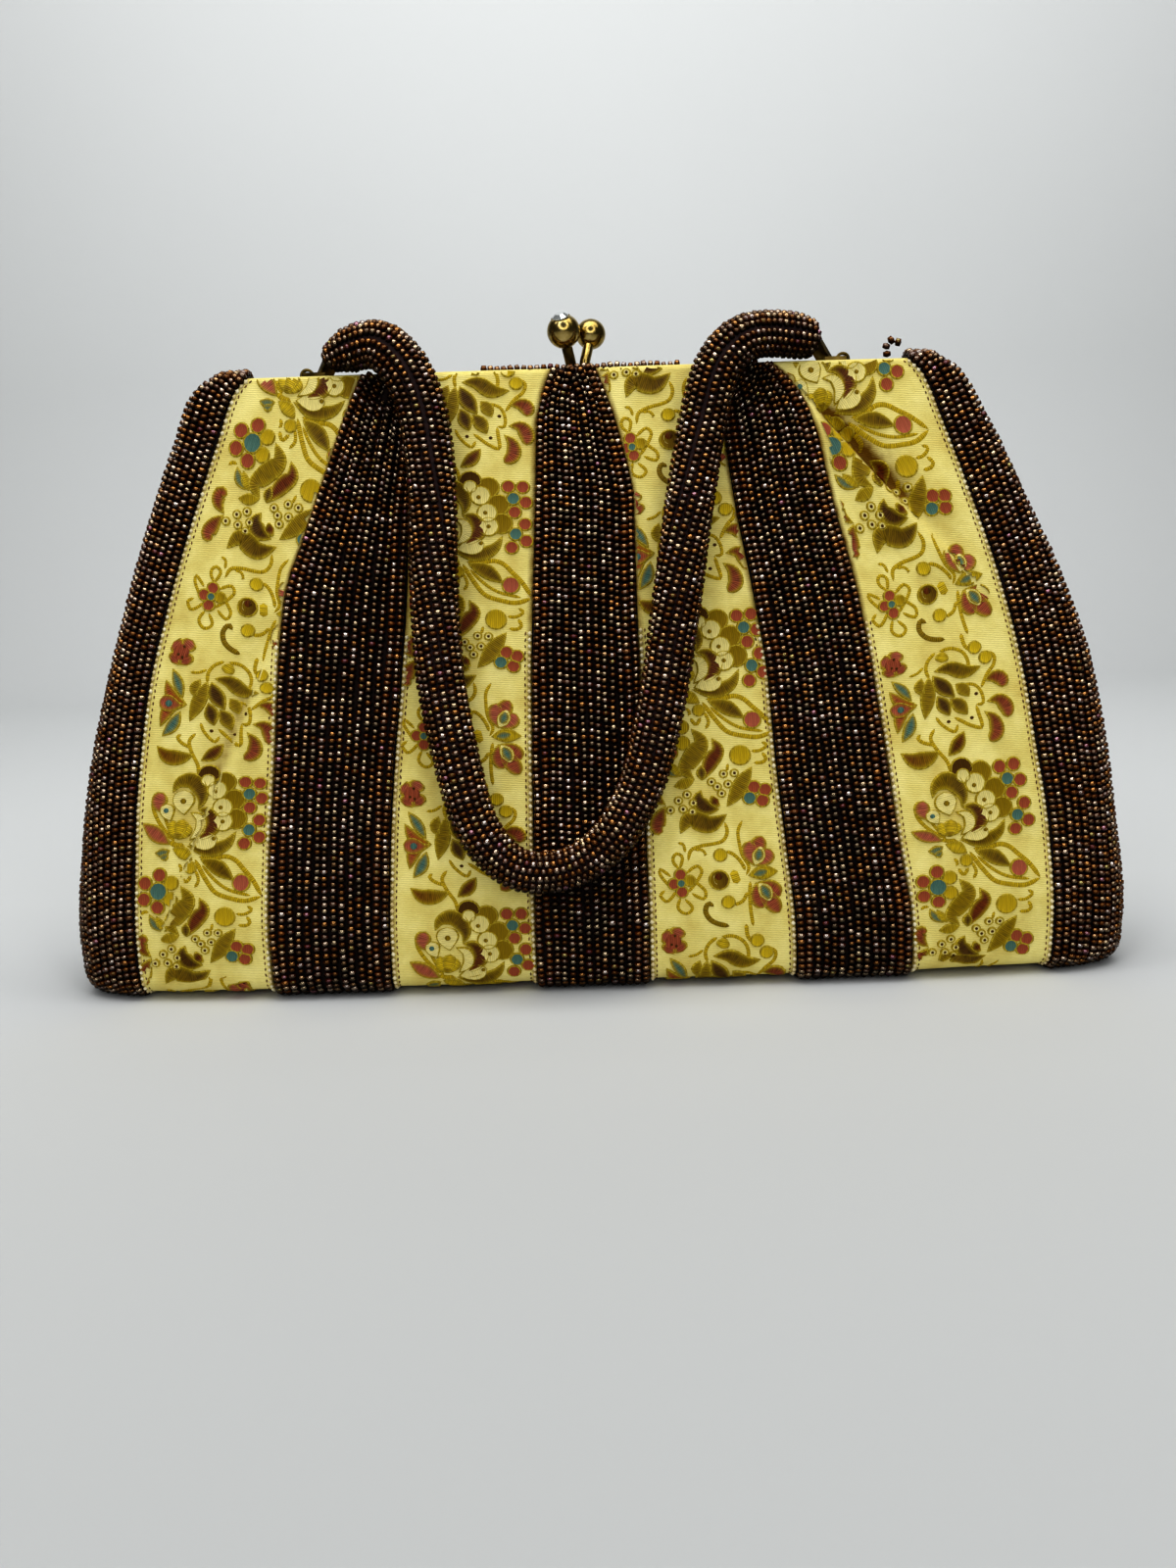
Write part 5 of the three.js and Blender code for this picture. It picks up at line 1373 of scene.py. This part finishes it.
def ring_points(shape, turn, inset):
    """Points along the strap at a turn round it, inside its outer form, and the directions away from it."""
    middle, across, through, half_wide, half_thick, _ = shape
    turn = np.broadcast_to(turn, half_wide.shape)
    a = np.maximum(half_wide - inset, THINNEST) * np.cos(turn)
    b = np.maximum(half_thick - inset, THINNEST) * np.sin(turn)
    away = unit(across * (np.cos(turn) / half_wide)[:, None] + through * (np.sin(turn) / half_thick)[:, None])
    return middle + across * a[:, None] + through * b[:, None], away


def strap_cloth(shape):
    turns = 2 * np.pi * np.arange(STRAP_SIDES) / STRAP_SIDES
    places = np.stack([ring_points(shape, turn, CLOTH_INSET)[0] for turn in turns], axis=1)
    index = np.arange(len(places) * STRAP_SIDES).reshape(-1, STRAP_SIDES)
    around = np.roll(index, -1, axis=1)
    quads = np.stack([index[:-1], index[1:], around[1:], around[:-1]], axis=-1).reshape(-1, 4)
    faces = quads[:, ::-1].tolist() + [index[0].tolist(), index[-1].tolist()[::-1]]
    mesh = bpy.data.meshes.new("strap_cloth")
    mesh.from_pydata((places.reshape(-1, 3) * MM).tolist(), [], faces)
    work = bmesh.new()
    work.from_mesh(mesh)
    bmesh.ops.recalc_face_normals(work, faces=work.faces)
    work.to_mesh(mesh)
    work.free()
    mesh.shade_smooth()
    mesh.materials.append(seam_cloth)
    return placed("strap_cloth", mesh)


def strap_strings(shape):
    far = shape[5]
    share = far / far[-1]
    to_inside = swell(share, SEAM["turns"], SEAM["returns"])
    seam = math.radians(SEAM["front"]) + math.radians(SEAM["turn"]) * to_inside
    around = math.pi * (shape[3].max() + shape[4].max())
    gap = 2 * math.pi * SEAM["wide"] / around
    strings = []
    for row in range(STRAP_BEAD_ROWS):
        turn = seam + gap / 2 + (row + 0.5) * (2 * math.pi - gap) / STRAP_BEAD_ROWS
        points, away = ring_points(shape, turn, BEAD_INSET)
        trim = 1 + row % 2
        strings.append((points[trim:-trim], away[trim:-trim], STRAP_WARMTH))
    return strings


# The strap's own cloth: a purplish brown cotton with a grain of about 1 mm, which shows along the seam
seam_cloth = mottled("seam_cloth", 1100.0, 3.0, [(0.3, "#1c0f10"), (0.7, "#3c2624")], {"Roughness": 0.85})

strap = strap_shape()
strap_cloth(strap)
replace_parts(beaded("strap_beads", strap_strings(strap), STRAP_SEED), "strap")

# Hooks. A flat loop of dull brass joins each end of the strap to its lug. It hangs in the lug's hole, and its
# edges are a little rounded.
HOOK_ROUNDING = 0.2
HOOK_FLAT = math.radians(2)
HOOK_SHARP = math.radians(30)
SAME_PLACE = 0.001 * MM
for name in ("strap_hook_left", "strap_hook_right"):
    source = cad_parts[name]
    work = bmesh.new()
    work.from_mesh(source.data)
    bmesh.ops.remove_doubles(work, verts=work.verts, dist=SAME_PLACE)
    flat = [edge for edge in work.edges if edge.is_manifold and edge.calc_face_angle(0) < HOOK_FLAT]
    bmesh.ops.dissolve_edges(work, edges=flat, use_verts=True)
    sharp = [edge for edge in work.edges if edge.is_manifold and edge.calc_face_angle(0) > HOOK_SHARP]
    bmesh.ops.bevel(work, geom=sharp, offset=HOOK_ROUNDING * MM, segments=2, affect="EDGES",
                    clamp_overlap=True)
    mesh = bpy.data.meshes.new(name + "_brass")
    work.to_mesh(mesh)
    work.free()
    mesh.shade_smooth()
    mesh.set_sharp_from_angle(angle=SHARP_EDGE)
    mesh.materials.append(old_brass)
    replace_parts(placed(name + "_brass", mesh), name)

# String of beads. A short row of the same seed beads is sewn along the front rim by the clasp, and sags a
# little between its stitches.
RIM_STRING = {"left": -26.0, "right": 29.0, "y": -4.9, "z": 170.9, "end": 0.9, "points": 30, "warmth": 0.9,
              "sag": 0.2, "waves": 0.7, "away": (0.0, -0.7, 0.7), "seed": 31}
rim_x = np.linspace(RIM_STRING["left"] + RIM_STRING["end"], RIM_STRING["right"] - RIM_STRING["end"],
                    RIM_STRING["points"])
rim_z = RIM_STRING["z"] + RIM_STRING["sag"] * np.sin(rim_x * RIM_STRING["waves"])
rim_points = np.stack([rim_x, np.full_like(rim_x, RIM_STRING["y"]), rim_z], axis=-1)
rim_away = np.tile(RIM_STRING["away"], (len(rim_points), 1))
rim_string = beaded("mouth_beads_string", [(rim_points, rim_away, RIM_STRING["warmth"])], RIM_STRING["seed"])
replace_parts(rim_string, "mouth_beads")

# Loose beads. A few have come loose at the right end of the mouth and stand up in a small loop on their own
# thread.
LOOSE_LOOP = [(86.2, -3.5, 172.0), (86.0, -3.8, 174.2), (87.4, -3.9, 175.6), (89.2, -3.8, 175.0)]
LOOSE_STEP = 0.4
LOOSE_WARMTH = 0.5
LOOSE_SEED = 32
loose_points = smooth_path(LOOSE_LOOP, LOOSE_STEP)[0]
loose_away = np.tile([0.0, -1.0, 0.0], (len(loose_points), 1))
beaded("loose_loop", [(loose_points, loose_away, LOOSE_WARMTH)], LOOSE_SEED)
bpy.data.objects.remove(seed_bead)

# Floor, light and camera. A white sweep behind and under the bag, a large ring light above the camera and
# soft lights over the bag and on the sweep, as the rings in the snap balls show.
SWEEP_WIDE = 5.0
SWEEP_NEAR = -2.5
SWEEP_BACK = 1.05
SWEEP_BEND = 0.3
SWEEP_HIGH = 2.2
BEND_POINTS = 16

# White paper: dull, with tones that hardly differ
paper = mottled("paper", 1.5, 2.0, [(0.3, "#cdcfcf"), (0.7, "#d1d3d3")], {"Roughness": 0.9})

profile = [(SWEEP_NEAR, 0.0)]
for a in np.linspace(0, math.pi / 2, BEND_POINTS):
    profile.append((SWEEP_BACK - SWEEP_BEND + SWEEP_BEND * math.sin(a), SWEEP_BEND * (1 - math.cos(a))))
profile.append((SWEEP_BACK, SWEEP_HIGH))
verts = [(x, y, z) for y, z in profile for x in (-SWEEP_WIDE / 2, SWEEP_WIDE / 2)]
faces = [(2 * i, 2 * i + 1, 2 * i + 3, 2 * i + 2) for i in range(len(profile) - 1)]
sweep_mesh = bpy.data.meshes.new("sweep")
sweep_mesh.from_pydata(verts, [], faces)
sweep_mesh.shade_smooth()
sweep_mesh.materials.append(paper)
sweep = bpy.data.objects.new("sweep", sweep_mesh)
bpy.context.collection.objects.link(sweep)

RING_LIGHT = {"at": (0.0, -0.84, 0.76), "radius": 0.52, "band": 0.28, "strength": 2.45, "steps": 64}
RING_AIM = (0.0, 0.0, 0.09)
glow, tree, shader = new_material("ring_glow")
fill(tree, shader, {"Base Color": colour("#000000"), "Emission Color": colour("#ffffff"),
                    "Emission Strength": RING_LIGHT["strength"]})
steps = RING_LIGHT["steps"]
turn = 2 * np.pi * np.arange(steps) / steps
inside = RING_LIGHT["radius"] - RING_LIGHT["band"] / 2
outside = RING_LIGHT["radius"] + RING_LIGHT["band"] / 2
flat_ring = [(r * math.cos(a), r * math.sin(a), 0.0) for r in (inside, outside) for a in turn]
ring_faces = [(i, (i + 1) % steps, steps + (i + 1) % steps, steps + i) for i in range(steps)]
ring_mesh = bpy.data.meshes.new("ring_light")
ring_mesh.from_pydata(flat_ring, [], ring_faces)
ring_mesh.materials.append(glow)
ring_light = bpy.data.objects.new("ring_light", ring_mesh)
aim = Vector(RING_AIM) - Vector(RING_LIGHT["at"])
ring_mesh.transform(Matrix.Translation(RING_LIGHT["at"]) @ aim.to_track_quat("Z", "Y").to_matrix().to_4x4())
bpy.context.collection.objects.link(ring_light)

SOFT_LIGHTS = {
    "overhead": {"wide": 1.2, "deep": 0.8, "watts": 7.5, "at": (0.0, 0.0, 1.0), "tilt": 55},
    "wall_wash": {"wide": 2.0, "deep": 0.5, "watts": 3.3, "at": (0.0, 0.5, 1.3), "tilt": 60},
}
for name, soft in SOFT_LIGHTS.items():
    light = bpy.data.lights.new(name, "AREA")
    light.shape = "RECTANGLE"
    light.size = soft["wide"]
    light.size_y = soft["deep"]
    light.energy = soft["watts"]
    lamp = bpy.data.objects.new(name, light)
    lamp.location = soft["at"]
    lamp.rotation_euler = (math.radians(soft["tilt"]), 0.0, 0.0)
    bpy.context.collection.objects.link(lamp)

world = bpy.data.worlds.new("room")
world.use_nodes = True
fill(world.node_tree, world.node_tree.nodes["Background"], {"Color": colour("#ffffff"), "Strength": 0.07})
bpy.context.scene.world = world
bpy.context.scene.view_settings.view_transform = "Standard"
bpy.context.scene.view_settings.look = "High Contrast"

CAMERA = {"at": (0.0, -0.392, 0.1226), "pitch": -10.0, "roll": -1.8, "lens": 41.46, "sensor": 36.0}
camera_data = bpy.data.cameras.new("camera")
camera_data.sensor_fit = "HORIZONTAL"
camera_data.sensor_width = CAMERA["sensor"]
camera_data.lens = CAMERA["lens"]
camera_data.clip_start = 0.01
camera = bpy.data.objects.new("camera", camera_data)
pitch = Matrix.Rotation(math.radians(90 + CAMERA["pitch"]), 4, "X")
roll = Matrix.Rotation(math.radians(CAMERA["roll"]), 4, "Z")
camera.matrix_world = Matrix.Translation(CAMERA["at"]) @ pitch @ roll
bpy.context.collection.objects.link(camera)
bpy.context.scene.camera = camera
